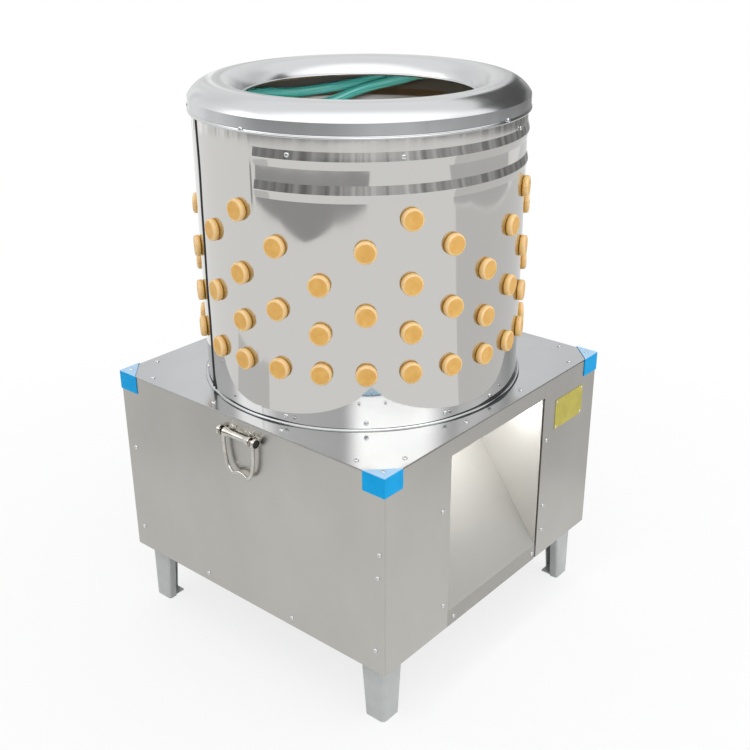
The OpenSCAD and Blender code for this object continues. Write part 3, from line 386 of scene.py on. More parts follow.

# The chute's side sheets are a paler copy of the same sheet: painted light on the sides
lit_side_steel = finish("rinsed_stainless", "#C2C0BB", 0.5, 0.48, Gloss(80, 0.44, 0.54),
                    relief=[Relief(GRAIN, 0.02, 0.25, LEVEL_GRAIN)])

# Grey air-dried enamel on pressed steel: smooth, half gloss, with a slight orange-peel
leg_enamel = finish("grey_enamel", "#BEC0BF", 0.0, 0.42, Gloss(25, 0.36, 0.48),
                    Tone(40, "#B7B9B8", "#C5C7C6"), [Relief(2.5, 0.04, 0.4)], Coat_Weight=0.15)

# Moulded polypropylene: satin saturated blue with a faint flow marbling
guard_plastic = finish("moulded_blue_polypropylene", "#0CA3E2", 0.0, 0.42, Gloss(9, 0.36, 0.48),
                       Tone(18, "#0AA3E4", "#10ADEE"), [Relief(1.2, 0.02, 0.3)],
                       IOR=1.49, Specular_IOR_Level=0.08)
# The top is painted paler, a painted reflection of the bright surroundings on its level face
SHEEN_FROM, SHEEN_FULL, SHEEN_SHARE = 0.3, 1.3, 0.6
tree = guard_plastic.node_tree
height = add(tree, "ShaderNodeSeparateXYZ", {0: tree.nodes["place"].outputs["Object"]}).outputs["Z"]
painted_top_sheen = add(tree, "ShaderNodeMapRange",
              {"Value": height, "From Min": (TOP + SHEEN_FROM) * MM, "From Max": (TOP + SHEEN_FULL) * MM,
               "To Min": 0.0, "To Max": SHEEN_SHARE})
# Painted sheen: a paler colour over the top, rising with height
painted_light_over(guard_plastic, painted_top_sheen.outputs[0], "#D9E6EE")

# Moulded natural rubber: soft matt orange-yellow that lets a little light in, with a painted highlight round
# each head's rim
finger_rubber = finish("moulded_natural_rubber", "#EAB65C", 0.0, 0.5, Gloss(5, 0.42, 0.6),
                       Tone(12, "#E2A94C", "#EDBB62", detail=5), [Relief(0.9, 0.03, 0.35)],
                       IOR=1.52, Subsurface_Weight=0.12, Subsurface_Scale=0.006)
rim = add(finger_rubber.node_tree, "ShaderNodeAttribute", attribute_name="worn_rim").outputs["Fac"]
painted_light_over(finger_rubber, rim, "#F6CF92")

# Clear-green vinyl hose: glossy skin over a marbled core, with paler streaks drawn along it
STREAK_WIDE, STREAK_LONG = 2.415, 104.2
hose_vinyl = finish("green_vinyl_hose", "#3FAE9A", 0.0, 0.22, IOR=1.53, Coat_Weight=0.5, Coat_Roughness=0.08,
                    Subsurface_Weight=0.15, Subsurface_Scale=0.004)
tree = hose_vinyl.node_tree
shader = tree.nodes["shader"]
mark = add(tree, "ShaderNodeAttribute", attribute_name="round_and_run")
across = HOSE_D / 2 / STREAK_WIDE
spread = add(tree, "ShaderNodeMapping",
             {"Vector": mark.outputs["Vector"], "Scale": (across, across, 1 / (STREAK_LONG * MM))})
streak = add(tree, "ShaderNodeTexNoise", {"Vector": spread.outputs[0], "Scale": 1, "Detail": 4})
marbling = add(tree, "ShaderNodeValToRGB", {"Fac": streak.outputs["Fac"]})
for stop, share, code in zip(marbling.color_ramp.elements, (0.32, 0.7), ("#2BB3A6", "#84DDD6")):
    stop.position, stop.color = share, linear(code)
tree.links.new(marbling.outputs[0], shader.inputs["Base Color"])
drawn = add(tree, "ShaderNodeBump", {"Height": streak.outputs["Fac"], "Distance": 0.15 * MM, "Strength": 0.3})
tree.links.new(drawn.outputs[0], shader.inputs["Normal"])

# Nickel-plated wire and strip: bright with soft blotches where the plating has dulled
handle_nickel = finish("nickel_plate", "#C6C3BD", 1.0, 0.16, Gloss(8, 0.1, 0.26),
                       Tone(14, "#B3AFA8", "#D2D0CB"), [Relief(6, 0.03, 0.3)])

# Zinc-plated screw heads: bright, slightly bluish
screw_zinc = finish("zinc_plate", "#D5D6D8", 1.0, 0.22, Gloss(3, 0.15, 0.3))

# Dipped yellow lacquer on aluminium sheet: even colour, thin satin gloss, a little mottled
plate_lacquer = finish("yellow_lacquer", "#BFB136", 0.25, 0.36, Gloss(10, 0.3, 0.44),
                       Tone(16, "#B5A72E", "#C9BC42"), Coat_Weight=0.2)

# Grey primer on welded angle bars: dull, a little patchy
frame_primer = finish("grey_primer", "#6C6F71", 0.0, 0.62, tone=Tone(60, "#616466", "#777A7C"),
                      relief=[Relief(3, 0.05, 0.4)])

# Grey iron castings: dark, pebbled skin
cast_iron = finish("sand_cast_iron", "#3D3E40", 0.35, 0.6, tone=Tone(20, "#353638", "#47484A"),
                   relief=[Relief(2.2, 0.15, 0.6, detail=3)])

# Turned bright steel: clean, with a patchy shine
bright_steel = finish("turned_bright_steel", "#B4B5B7", 1.0, 0.25, Gloss(6, 0.18, 0.34))

# Blue-grey machine enamel on the motor: half gloss over cast fins
motor_enamel = finish("machine_enamel", "#3F5D78", 0.0, 0.38, tone=Tone(40, "#395670", "#47667F"),
                      relief=[Relief(2.5, 0.05, 0.4)], Coat_Weight=0.2)

# Cured black rubber of belt and wipers, also used for the painted-shade discs in the handle knuckles: matt,
# with grey bloom
black_rubber = finish("black_rubber", "#1E1E1F", 0.0, 0.68, tone=Tone(15, "#181819", "#2A2A2B"),
                      relief=[Relief(1.5, 0.05, 0.4)])

# Moulded black polycarbonate of the switch: satin with a spark-eroded texture
switch_black = finish("black_polycarbonate", "#26282A", 0.0, 0.45, Gloss(4, 0.38, 0.52),
                      relief=[Relief(1.0, 0.04, 0.5)])

# Moulded button caps: glossy, clear colours
button_green = finish("green_button_cap", "#1E9A48", 0.0, 0.28, tone=Tone(8, "#1A9142", "#25A550"))
button_red = finish("red_button_cap", "#C9241F", 0.0, 0.28, tone=Tone(8, "#C01F1B", "#D32B25"))

# Turned brass fittings: warm, slightly tarnished
brass = finish("turned_brass", "#C9A45A", 1.0, 0.26, Gloss(6, 0.2, 0.36), Tone(9, "#B8924A", "#D6B36B"))

# Dark sealing compound in the drum's seams, also laid as painted shade in the seam gaps and along the
# collar's creases: dull, lumpy
seam_sealant_and_shade = finish("dark_sealant", "#1C1D1F", 0.0, 0.6, tone=Tone(9, "#151617", "#26282A"),
                      relief=[Relief(5, 0.3, 0.5)])


# Drum: two bent sheets. Each starts with a plain end that laps over the other sheet, then carries two beads.
# Angles are in degrees past a sheet's free edge, which is at the seam, and heights are above the top plate
SEAM_DEG, LAP_DEG, SHEET_DEG = -116.0, 32.0, 180
BEADS = (345.0, 389.0)
BEAD_W, BEAD_OUT = 24.0, 3.0
BEAD_RUN_IN, BEAD_STOP, BEAD_RUN_OUT = 0.35, 161.0, 5.0
# A bead's crest is a little blunt past this share of its rise
BLUNT_FROM, BLUNT_BY = 0.85, 0.05
LAP_LIFT, LAP_FADE = 0.7, 9.0
CREASE_OUT, CREASE_W, CREASE_BEFORE = 0.22, 0.5, 1.6
EDGE_REACH, DRIFT_WAVES = 2.0, ((0.30, 47, 0.6), (0.16, 19, 2.1))


def seam_drift(z):
    """The free edge of a sheet isn't quite straight."""
    return sum(deg * math.sin(z / length + start) for deg, length, start in DRIFT_WAVES)


def share_of(value):
    """A value held between 0 and 1."""
    return min(max(value, 0), 1)


def drum_radius(rel_deg, z):
    """Outer radius at an angle past the sheet's free edge."""
    along = share_of((rel_deg - LAP_DEG) / BEAD_RUN_IN) * share_of((BEAD_STOP - rel_deg) / BEAD_RUN_OUT)
    rise = max(1 - min(abs(z - bead) for bead in BEADS) / (BEAD_W / 2), 0)
    rise -= BLUNT_BY * max(rise - BLUNT_FROM, 0) / (1 - BLUNT_FROM)
    lap = LAP_LIFT * (math.exp(-rel_deg / LAP_FADE) - math.exp(-(SHEET_DEG - rel_deg) / LAP_FADE))
    crease = CREASE_OUT * math.exp(-((rel_deg - LAP_DEG + CREASE_BEFORE) / CREASE_W) ** 2)
    return DRUM_R + BEAD_OUT * rise * along + lap + crease


# Steps round a sheet are fine at its edges, at the crease and where the beads start
lap_steps = [0, 0.12, 0.3, 0.6, 1, 1.6] + [2.4 + k for k in range(int(LAP_DEG) - 5)]
lap_steps += [LAP_DEG - d for d in (2.6, 2.2, 1.9, 1.6, 1.3, 1, 0.6)]
bead_steps = [LAP_DEG + d for d in (0, 0.09, 0.18, 0.27, 0.35, 0.6)]
sheet_steps = lap_steps + bead_steps + list(range(int(LAP_DEG) + 1, 178)) + [178.4, 179.2, 179.7, 179.93]
BEAD_OFFSETS = (0, 0.7, 1.6, 3, 6, 9, 11.6, 12, 12.3, 13)
bead_heights = [bead + side * d for bead in BEADS for side in (-1, 1) for d in BEAD_OFFSETS]
wall_heights = sorted({0, 2, *range(20, 321, 20), *bead_heights, 408, 425, DRUM_H})


def wall_ring(z, inset):
    """The wall's outline at a height, set in from its outer face."""
    ring = []
    for sheet in (0, 1):
        for rel in sheet_steps:
            near = math.exp(-min(rel, SHEET_DEG - rel) / EDGE_REACH)
            deg = SEAM_DEG + SHEET_DEG * sheet + rel + seam_drift(z) * near
            ring.append(polar(drum_radius(rel, z) - inset, deg, TOP + z))
    return ring


wall = [wall_ring(z, 0) for z in wall_heights] + [wall_ring(z, DRUM_T) for z in reversed(wall_heights)]
drum = shape_of("drum_shell_polished", *skin(wall, loop=True), crisp=12)
inner_face = drum.data.attributes.new("inner_face", "FLOAT", "POINT")
inner_face.data.foreach_set("value", [float(i >= len(wall) // 2) for i in range(len(wall)) for p in wall[0]])
dress(drum, drum_steel, "base", "polished_stainless", "drum_shell")

# Sealant in the two seams, drawn wide and dark as painted shade of the seam gaps as well, with a short fork
# at the foot: each line's start, stop and lean in degrees
FORK_LOW, FORK_TOP = 2, 22
SEAL_LINES = ((8, 417, 0.0), (FORK_LOW, FORK_TOP, -1.4), (FORK_LOW, FORK_TOP, 1.54))
SEAL_WIDE, SEAL_UNEVEN, SEAL_PROUD, SEAL_LIFT, SEAL_STEPS = 1.5, 0.5, 2.2, 0.2, 60


def seam_line(sheet, start, stop, lean):
    rings = []
    for k in range(SEAL_STEPS + 1):
        z = start + (stop - start) * k / SEAL_STEPS
        aside = lean * max(0, FORK_TOP - z) / (FORK_TOP - FORK_LOW)
        deg = SEAM_DEG + SHEET_DEG * sheet + seam_drift(z) + aside
        wide = SEAL_WIDE + SEAL_UNEVEN * math.sin(z / 23 + 1) * math.sin(z / 61)
        middle = polar(DRUM_R + SEAL_LIFT, deg, TOP + z)
        out = outward(deg)
        side = Vector((-out.y, out.x, 0))
        rings.append([middle + MM * (wide * math.cos(t) * side + SEAL_PROUD * math.sin(t) * out)
                      for t in turns(10)])
    return skin(rings)


# A thin line of it, partly sealant and partly painted shade of the collar's creases, runs along both edges of
# the collar, thicker on the right and on the left of each half, where that shade is darkest: the line's
# radius and height, its flatness, and its half thickness where thin and what each side adds
COLLAR_LINES = ((DRUM_R + 0.3, 2.6, 0.3, 0.3, 3.0, 2.0), (DRUM_R + 5.0, 0.1, 3.2, 0.12, 1.0, 0.45))
RIGHT_SWELL, LEFT_SWELL = (3, 19), (-87, 15)
COLLAR_LINE_STEPS, LUMPS, LUMP_SHARE = 240, 17, 0.25


def swell(deg, middle, spread):
    """1 at the middle of a stretch in each half turn, falling off over its spread."""
    return math.exp(-(((deg - middle + 90) % 180 - 90) / spread) ** 2)


def collar_line(radius, z, flat, thin, right_side, left_side):
    rings = []
    for k in range(COLLAR_LINE_STEPS):
        deg = 360 * k / COLLAR_LINE_STEPS
        high = thin + right_side * swell(deg, *RIGHT_SWELL) + left_side * swell(deg, *LEFT_SWELL)
        high *= 1 + LUMP_SHARE * math.sin(math.radians(LUMPS * deg))
        rings.append([polar(radius + flat * high * math.cos(t), deg, TOP + z + high * math.sin(t))
                      for t in turns(8)])
    return skin(rings, loop=True)


# Painted shade: dark lines in the seams and along the collar's edges
sealant_and_shade = joined([seam_line(sheet, *line) for sheet in (0, 1) for line in SEAL_LINES]
                 + [collar_line(*line) for line in COLLAR_LINES])
dress(shape_of("drum_seam_sealant", *sealant_and_shade), seam_sealant_and_shade, "base", "polished_stainless")

# Lid: skirt, round crown and rolled edges
LID_OUT, LID_T, ROLL_R, MOUTH_R, CREST_R = 253.5, 1.2, 2.0, 173.0, 214.3
CREST_RISE, LIP_FALL, SKIRT_H, LID_SEAT_GAP = 22.6, 26.6, 19.5, 0.1
SKIRT_LOW, SKIRT_MID, SKIRT_HIGH, ROLL_CLEAR = 4, 12, 17, 0.4
OUT_TURN, IN_TURN = math.radians(60), math.radians(65)
SPIN_STEPS = 256
out_wide, out_high = (LID_OUT - CREST_R) / math.sin(OUT_TURN), CREST_RISE / (1 - math.cos(OUT_TURN))
in_wide, in_high = (CREST_R - MOUTH_R - ROLL_R) / math.sin(IN_TURN), LIP_FALL / (1 - math.cos(IN_TURN))
# The angle of the crown at which it rests on the drum's edge
rest = math.asin((DRUM_R - CREST_R) / (out_wide - LID_T))
crest_z = DRUM_H + LID_SEAT_GAP + out_high - (out_high - LID_T) * math.cos(rest)
skirt_end = crest_z - CREST_RISE - SKIRT_H


def crown(inset, steps=20):
    """The crown's line of radius and height, from the skirt over the crest to the lip."""
    arcs = [(out_wide, out_high, OUT_TURN * (1 - k / steps)) for k in range(steps)]
    arcs += [(in_wide, in_high, -IN_TURN * k / steps) for k in range(steps + 1)]
    return [(CREST_R + (wide - inset) * math.sin(a), crest_z - inset - (high - inset) * (1 - math.cos(a)))
            for wide, high, a in arcs]


def rolled(middle, way, steps=18):
    """Outline of a rolled edge, from one face of the sheet round to the other. way points out of its end."""
    turn = math.atan2(way[1], way[0])
    cut = math.pi - math.asin(LID_T / 2 / ROLL_R)
    angles = [turn + cut * (1 - 2 * k / steps) for k in range(steps + 1)]
    return [(middle[0] + ROLL_R * math.cos(a), middle[1] + ROLL_R * math.sin(a)) for a in angles]


outer, inner = crown(0), crown(LID_T)
lip = ((outer[-1][0] + inner[-1][0]) / 2, (outer[-1][1] + inner[-1][1]) / 2)
lip_way = (outer[-1][0] - outer[-2][0], outer[-1][1] - outer[-2][1])
hem = (LID_OUT - LID_T / 2, skirt_end)
outer, inner = ([p for p in line if math.dist(p, lip) > ROLL_R + ROLL_CLEAR] for line in (outer, inner))
lid_profile = [(LID_OUT, skirt_end + SKIRT_MID), (LID_OUT, skirt_end + SKIRT_HIGH)]
lid_profile += outer + rolled(lip, lip_way)[::-1] + inner[::-1]
lid_profile += [(LID_OUT - LID_T, skirt_end + SKIRT_MID), (LID_OUT - LID_T, skirt_end + SKIRT_LOW)]
lid_profile += rolled(hem, (0, -1)) + [(LID_OUT, skirt_end + SKIRT_LOW)]
lid_rings = spun([(r, TOP + z) for r, z in lid_profile], SPIN_STEPS)
lid = shape_of("lid_ring_spun", *skin(lid_rings, loop=True), crisp=28)
dress(lid, lid_steel, "base", "polished_stainless", "lid_ring")

# Collar round the foot of the drum, out from the wall and up: a thin flange that rises in a small hollow
COLLAR = ((0.15, 0.02), (5, 0.02), (5, 0.3), (2.6, 0.45), (1.9, 0.8), (1.4, 1.5), (1.1, 2.3), (0.9, 2.5),
          (0.15, 2.5))
collar_rings = spun([(DRUM_R + out, TOP + z) for out, z in COLLAR], SPIN_STEPS)
collar = shape_of("drum_collar_bent", *skin(collar_rings, loop=True))
dress(collar, plate_steel, "base", "polished_stainless", "drum_collar")


# Geometry Nodes: sets a shape on places, each turned to face its own way

def placing_tree():
    tree = bpy.data.node_groups.new("set_on_places", "GeometryNodeTree")
    for name, kind in (("Places", "Geometry"), ("Shape", "Object"), ("Width", "Float"), ("Height", "Float"),
                       ("Finish", "Material")):
        tree.interface.new_socket(name, in_out="INPUT", socket_type="NodeSocket" + kind)
    tree.interface.new_socket("Geometry", in_out="OUTPUT", socket_type="NodeSocketGeometry")
    given = add(tree, "NodeGroupInput").outputs
    shape = add(tree, "GeometryNodeObjectInfo", {"Object": given["Shape"]})
    facing = add(tree, "GeometryNodeInputNamedAttribute", {"Name": "facing"}, data_type="FLOAT_VECTOR")
    turn = add(tree, "FunctionNodeAlignRotationToVector", {"Vector": facing.outputs["Attribute"]}, axis="Z")
    size = add(tree, "ShaderNodeCombineXYZ", {"X": given["Width"], "Y": given["Width"], "Z": given["Height"]})
    copies = add(tree, "GeometryNodeInstanceOnPoints",
                 {"Points": given["Places"], "Instance": shape.outputs["Geometry"],
                  "Rotation": turn.outputs[0], "Scale": size.outputs[0]})
    real = add(tree, "GeometryNodeRealizeInstances", {"Geometry": copies.outputs[0]})
    coat = add(tree, "GeometryNodeSetMaterial", {"Geometry": real.outputs[0], "Material": given["Finish"]})
    add(tree, "NodeGroupOutput", {"Geometry": coat.outputs[0]})
    return tree


placing = placing_tree()


def set_on_places(name, places, shape, width, height, coat, *told):
    """One plain mesh of a shape set on each place, which is a point and the way it faces, and its dress."""
    mesh = bpy.data.meshes.new(name)
    mesh.from_pydata([point for point, way in places], [], [])
    facing = mesh.attributes.new("facing", "FLOAT_VECTOR", "POINT")
    facing.data.foreach_set("vector", [c for point, way in places for c in way])
    piece = placed(name, mesh)
    layer = piece.modifiers.new("set_on_places", "NODES")
    layer.node_group = placing
    given = {"Shape": shape, "Width": width, "Height": height, "Finish": coat}
    for item in placing.interface.items_tree:
        if item.name in given:
            layer[item.identifier] = given[item.name]
    settle(piece, layer)
    dress(piece, coat, *told)


# Rubber finger: round head outside the sheet, neck in the hole, ribbed finger behind it
HEAD_R, HEAD_H, HOLE_R, ROOT_R, TIP_R = 16.0, 9.0, 10.0, 13.0, 6.5
HEAD_ROUND, HEAD_FOOT_ROUND, POLE_R = 3.0, 1.6, 0.6
FINGER_LEN, FINGER_RIBS, RIB_OUT, NECK, NOSE, FINGER_SIDES = 82.0, 6, 1.2, 8.0, 6.0, 22
# Along one rib: share of its pitch and of its height
RIB = ((0, 0), (0.12, 0.62), (0.24, 0.97), (0.38, 0.97), (0.5, 0.6), (0.62, 0))


def arc(r, z, size, start, stop, steps):
    """Points of an arc about r and z, from one angle in degrees to another."""
    angles = [math.radians(start + (stop - start) * k / steps) for k in range(steps + 1)]
    return [(r + size * math.cos(a), z + size * math.sin(a)) for a in angles]


def finger_shape(name, sheet):
    """A finger along Z whose head sits on a sheet of this thickness, with its rim marked for a painted
    highlight.
    """
    profile = [(POLE_R, HEAD_H - 0.15), (8, HEAD_H - 0.1), (12.5, HEAD_H)]
    profile += arc(HEAD_R - HEAD_ROUND, HEAD_H - HEAD_ROUND, HEAD_ROUND, 80, 0, 4)
    profile += arc(HEAD_R - HEAD_FOOT_ROUND, HEAD_FOOT_ROUND + 0.1, HEAD_FOOT_ROUND, 0, -90, 3)
    profile += [(HOLE_R - 0.1, 0.1), (HOLE_R - 0.1, -sheet), (ROOT_R - 1, -sheet), (ROOT_R, -sheet - 0.8)]
    pitch = (FINGER_LEN - NECK - NOSE) / FINGER_RIBS
    for i in range(FINGER_RIBS):
        for share, lift in RIB:
            z = NECK + (i + share) * pitch
            profile.append((ROOT_R + (TIP_R - ROOT_R) * z / FINGER_LEN + lift * RIB_OUT, -sheet - z))
    tip = -sheet - FINGER_LEN
    profile += [(TIP_R, tip + 2.6), (TIP_R - 1.1, tip + 0.7), (TIP_R - 2.6, tip), (POLE_R, tip)]
    finger = shape_of(name, *skin(spun(profile, FINGER_SIDES)), crisp=50)
    # The band round the head's rim that carries the painted highlight
    highlight_band = HEAD_ROUND + 0.2
    rim = [float(r > HEAD_R - highlight_band and z > HEAD_H - highlight_band) for r, z in profile for k in range(FINGER_SIDES)]
    finger.data.attributes.new("worn_rim", "FLOAT", "POINT").data.foreach_set("value", rim)
    return finger


# Columns of wall fingers on each sheet, with a column's rows as shares of the way from lowest to highest
COLUMN_STEP, SHEET_COLUMNS = 14.5, 12
ROW_LOW, ROW_HIGH = 88.0, 310.0
LONG, MIDDLE, SHORT = (1, 0.59, 0.27, 0), (0.81, 0.4, 0), (0.59, 0.27, 0)
SEAT_GAP = 0.1
column_margin = (SHEET_DEG - (SHEET_COLUMNS - 1) * COLUMN_STEP) / 2
finger_places = []
for sheet in (0, 1):
    for column in range(SHEET_COLUMNS):
        deg = SEAM_DEG + SHEET_DEG * sheet + column_margin + column * COLUMN_STEP
        for share in (MIDDLE, LONG, MIDDLE, SHORT)[column % 4]:
            z = TOP + ROW_LOW + share * (ROW_HIGH - ROW_LOW)
            finger_places.append((polar(DRUM_R, deg, z), outward(deg)))
# The flat shoulder of a finger stands off the hollow wall by the wall's bow
wall_bow = ROOT_R ** 2 / DRUM_IN / 2
wall_finger = finger_shape("wall_finger", DRUM_T + wall_bow + SEAT_GAP)
set_on_places("wall_fingers_ribbed", finger_places, wall_finger, 1.0, 1.0, finger_rubber, "base",
              "finger_rubber", "wall_fingers")

TABLE_UNDER, TABLE_T, DOWN = 418.0, 4.0, Vector((0, 0, -1))
TABLE_RINGS = ((190.0, 14), (135.0, 10), (86.0, 6))
plate_places = [(polar(r, (k + 0.5) * 360 / count, TABLE_UNDER), DOWN)
                for r, count in TABLE_RINGS for k in range(count)]
plate_finger = finger_shape("plate_finger", TABLE_T + SEAT_GAP)
set_on_places("plate_fingers_ribbed", plate_places, plate_finger, 1.0, 1.0, finger_rubber, "turntable_rotor",
              "finger_rubber", "plate_fingers")

# Screw and rivet heads, one unit wide and high
SCREW_SIDES, RIVET_SIDES = 16, 14


def screw_shape():
    """Pan head with a cross recess."""
    star = [1.0 if k % 4 == 0 else 0.36 for k in range(SCREW_SIDES)]
    profile = [(1.0, 0), (1.0, 0.3), (0.95, 0.55), (0.82, 0.8), (0.64, 0.95)]
    rings = [[Vector((r * math.cos(a), r * math.sin(a), z)) for a in turns(SCREW_SIDES)] for r, z in profile]
    rings += [[Vector((r * point * math.cos(a), r * point * math.sin(a), z))
               for point, a in zip(star, turns(SCREW_SIDES))] for r, z in ((0.52, 1.0), (0.44, 0.5))]
    return shape_of("pan_head", *skin(rings), crisp=40)


def rivet_shape():
    profile = [(math.cos(math.radians(a)), math.sin(math.radians(a))) for a in (0, 18, 36, 54, 72, 86)]
    rings = [[Vector((r * math.cos(a), r * math.sin(a), z)) for a in turns(RIVET_SIDES)] for r, z in profile]
    return shape_of("rivet_head", *skin(rings), crisp=60)


pan_head, rivet_head = screw_shape(), rivet_shape()
FRONT, RIGHT, UP = Vector((0, -1, 0)), Vector((1, 0, 0)), Vector((0, 0, 1))

# Screws: across each sheet and up from the top plate, along the top plate's edges, and round the drum
FRONT_SCREWS = ((-258, -133), (-258, -286), (-97, -311), (92, -311), (268, -123), (265, -162), (260, -288))
RIGHT_SCREWS = ((-146, -111), (-140, -279), (-112, -313), (109, -312), (133, -107), (135, -230), (135, -277))
LEFT_SCREWS = [(y, z) for y in (-258, 258) for z in (-60, -160, -286)] + [(-110, -311), (110, -311)]
PLATE_ALONG, PLATE_EDGE = (-215, -72, 72, 215), 262
LID_SCREWS = [(deg, 422) for deg in (-87.6, 3.9, 95, 186)]
FOOT_SCREWS = [(deg, 12) for deg in (-75.6, -48, -20.3, 1, 70, 120, 170, -130)]
BEAD_SCREWS = [(deg + turn, z) for turn in (0, 180) for deg, z in ((-71.5, 395), (-36, 394), (15, 403))]
BEAD_SCREW_LIFT = 0.8
screw_places = []
for x, z in FRONT_SCREWS:
    screw_places += [(at(x, -HALF, TOP + z), FRONT), (at(-x, HALF, TOP + z), -FRONT)]
screw_places += [(at(HALF, y, TOP + z), RIGHT) for y, z in RIGHT_SCREWS]
screw_places += [(at(-HALF, y, TOP + z), -RIGHT) for y, z in LEFT_SCREWS]
for along in PLATE_ALONG:
    for edge in (-PLATE_EDGE, PLATE_EDGE):
        screw_places += [(at(along, edge, TOP), UP), (at(edge, along, TOP), UP)]
for radius, places in ((LID_OUT, LID_SCREWS), (DRUM_R, FOOT_SCREWS), (DRUM_R + BEAD_SCREW_LIFT, BEAD_SCREWS)):
    screw_places += [(polar(radius, deg, TOP + z), outward(deg)) for deg, z in places]
set_on_places("sheet_screws", screw_places, pan_head, 3.6 * MM, 2.0 * MM, screw_zinc, "base",
              "polished_stainless")

GUARD_T, GUARD_SCREW = 1.5, 265
guard_places = [(at(x, y, TOP + GUARD_T), UP)
                for x in (-GUARD_SCREW, GUARD_SCREW) for y in (-GUARD_SCREW, GUARD_SCREW)]
set_on_places("guard_screws", guard_places, pan_head, 3.4 * MM, 1.8 * MM, screw_zinc, "base",
              "polished_stainless")

RIVET_IN = 4
low, high = (Vector(c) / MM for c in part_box("name_plate"))
plate_rivets = [(at(high.x, y, z), RIGHT)
                for y in (low.y + RIVET_IN, high.y - RIVET_IN) for z in (low.z + RIVET_IN, high.z - RIVET_IN)]
set_on_places("name_plate_rivets", plate_rivets, rivet_head, 2.2 * MM, 1.2 * MM, screw_zinc, "base",
              "plate_yellow")

# Handles: each bail is bent from one wire, its ends turned into the barrel. Heights are shares of its drop
HANDLE_X, BARREL_Y, BARREL_Z = 3.0, 285.5, 407.0
WIRE_R, BAIL_HALF, BAIL_DROP, PIN_IN, WIRE_SIDES = 3.0, 31.0, 65.0, 24.0, 20
bail_line = [(PIN_IN, 0.0), (BAIL_HALF - 3, 0.0), (BAIL_HALF - 0.9, -0.015)]
bail_line += [(BAIL_HALF, -0.1), (BAIL_HALF, -0.3), (BAIL_HALF - 1.5, -0.6), (BAIL_HALF - 6, -0.86)]
bail_line += [(BAIL_HALF - 15, -1.0), (BAIL_HALF - 24, -0.95), (0, -0.93)]
bail_line += [(-x, z) for x, z in reversed(bail_line[:-1])]


def by_handle(turn, x, y, z):
    """A point by the front handle, where turn is 1, or by the rear one, which is turned half round."""
    return at(turn * (HANDLE_X + x), -turn * y, z)


for name, body, node, turn in (("front_bail_wire", "front_handle_bail", "front_bail", 1),
                               ("rear_bail_wire", "rear_handle_bail", "rear_bail", -1)):
    line = [by_handle(turn, x, BARREL_Y, BARREL_Z + z * BAIL_DROP) for x, z in spline(bail_line, 6)]
    dress(tube(name, line, WIRE_R * MM, WIRE_SIDES), handle_nickel, body, "handle_chrome", node)

# Brackets: a riveted strip rolled into two open knuckles with a slimmer barrel between them
KNUCKLE_R, BARREL_MID_R, BARREL_HALF, SLOT_HALF, BORE_R = 8.0, 5.2, 39.0, 3.4, 3.05
BACK_GAP, BACK_T = 0.05, 1.5
EAR_X, EAR_Z, EAR_R = 18.5, TOP - 16, 10.0
KNUCKLE_SIDES, SHADE_DISC_IN, SHADE_DISC_R, SHADE_DISC_OUT = 32, 2.7, 6.2, 2.0


def back_strip(turn):
    """The strip against the sheet, with two round ears above the barrel."""
    half = [(4, BARREL_Z + 5)] + [(EAR_X - r, z) for r, z in arc(0, EAR_Z, EAR_R, 0, 180, 12)]
    half += [(EAR_X + EAR_R, BARREL_Z + 8), (BARREL_HALF, BARREL_Z + 6), (BARREL_HALF, BARREL_Z - 7)]
    outline = [(-x, z) for x, z in reversed(half)] + half
    return skin([[by_handle(turn, x, HALF + y, z) for x, z in outline] for y in (BACK_GAP, BACK_T)])


def knuckle(turn, profile):
    """A round shape about the barrel's axis, from its profile of x and radius."""
    rings = [[by_handle(turn, x, BARREL_Y + r * math.cos(t), BARREL_Z + r * math.sin(t))
              for t in turns(KNUCKLE_SIDES)] for x, r in profile]
    return skin(rings, loop=True)


slot_in, slot_out = BAIL_HALF - SLOT_HALF, BAIL_HALF + SLOT_HALF
barrel = [(-slot_in, BORE_R), (-slot_in, KNUCKLE_R - 1), (0.6 - slot_in, KNUCKLE_R - 0.4)]
barrel += [(4 - slot_in, KNUCKLE_R - 0.6), (10 - slot_in, BARREL_MID_R + 0.6), (15 - slot_in, BARREL_MID_R)]
barrel += [(-x, r) for x, r in reversed(barrel)]
end_ring = [(slot_out, BORE_R), (slot_out, KNUCKLE_R - 0.5), (slot_out + 0.5, KNUCKLE_R)]
end_ring += [(BARREL_HALF - 0.6, KNUCKLE_R), (BARREL_HALF, KNUCKLE_R - 0.6), (BARREL_HALF, KNUCKLE_R - 1.6)]
end_ring += [(BARREL_HALF - 2.6, KNUCKLE_R - 1.9), (BARREL_HALF - 2.8, BORE_R)]
for name, turn in (("front", 1), ("rear", -1)):
    bracket = joined([back_strip(turn), knuckle(turn, barrel)]
                     + [knuckle(turn, [(side * x, r) for x, r in end_ring]) for side in (-1, 1)])
    node = name + "_handle_bracket"
    dress(shape_of(node + "_rolled", *bracket, crisp=32), handle_nickel, "base", "handle_chrome", node)

# Black discs in the open ends of the knuckles: painted shade for their dark hollows
shade_disc_places = [(by_handle(turn, turn * side * (BARREL_HALF - SHADE_DISC_IN), BARREL_Y, BARREL_Z), side * RIGHT)
               for turn in (1, -1) for side in (-1, 1)]
set_on_places("handle_bushes", shade_disc_places, rivet_head, SHADE_DISC_R * MM, SHADE_DISC_OUT * MM, black_rubber, "base",
              "handle_chrome")
for shape in (wall_finger, plate_finger, pan_head, rivet_head):
    bpy.data.objects.remove(shape)

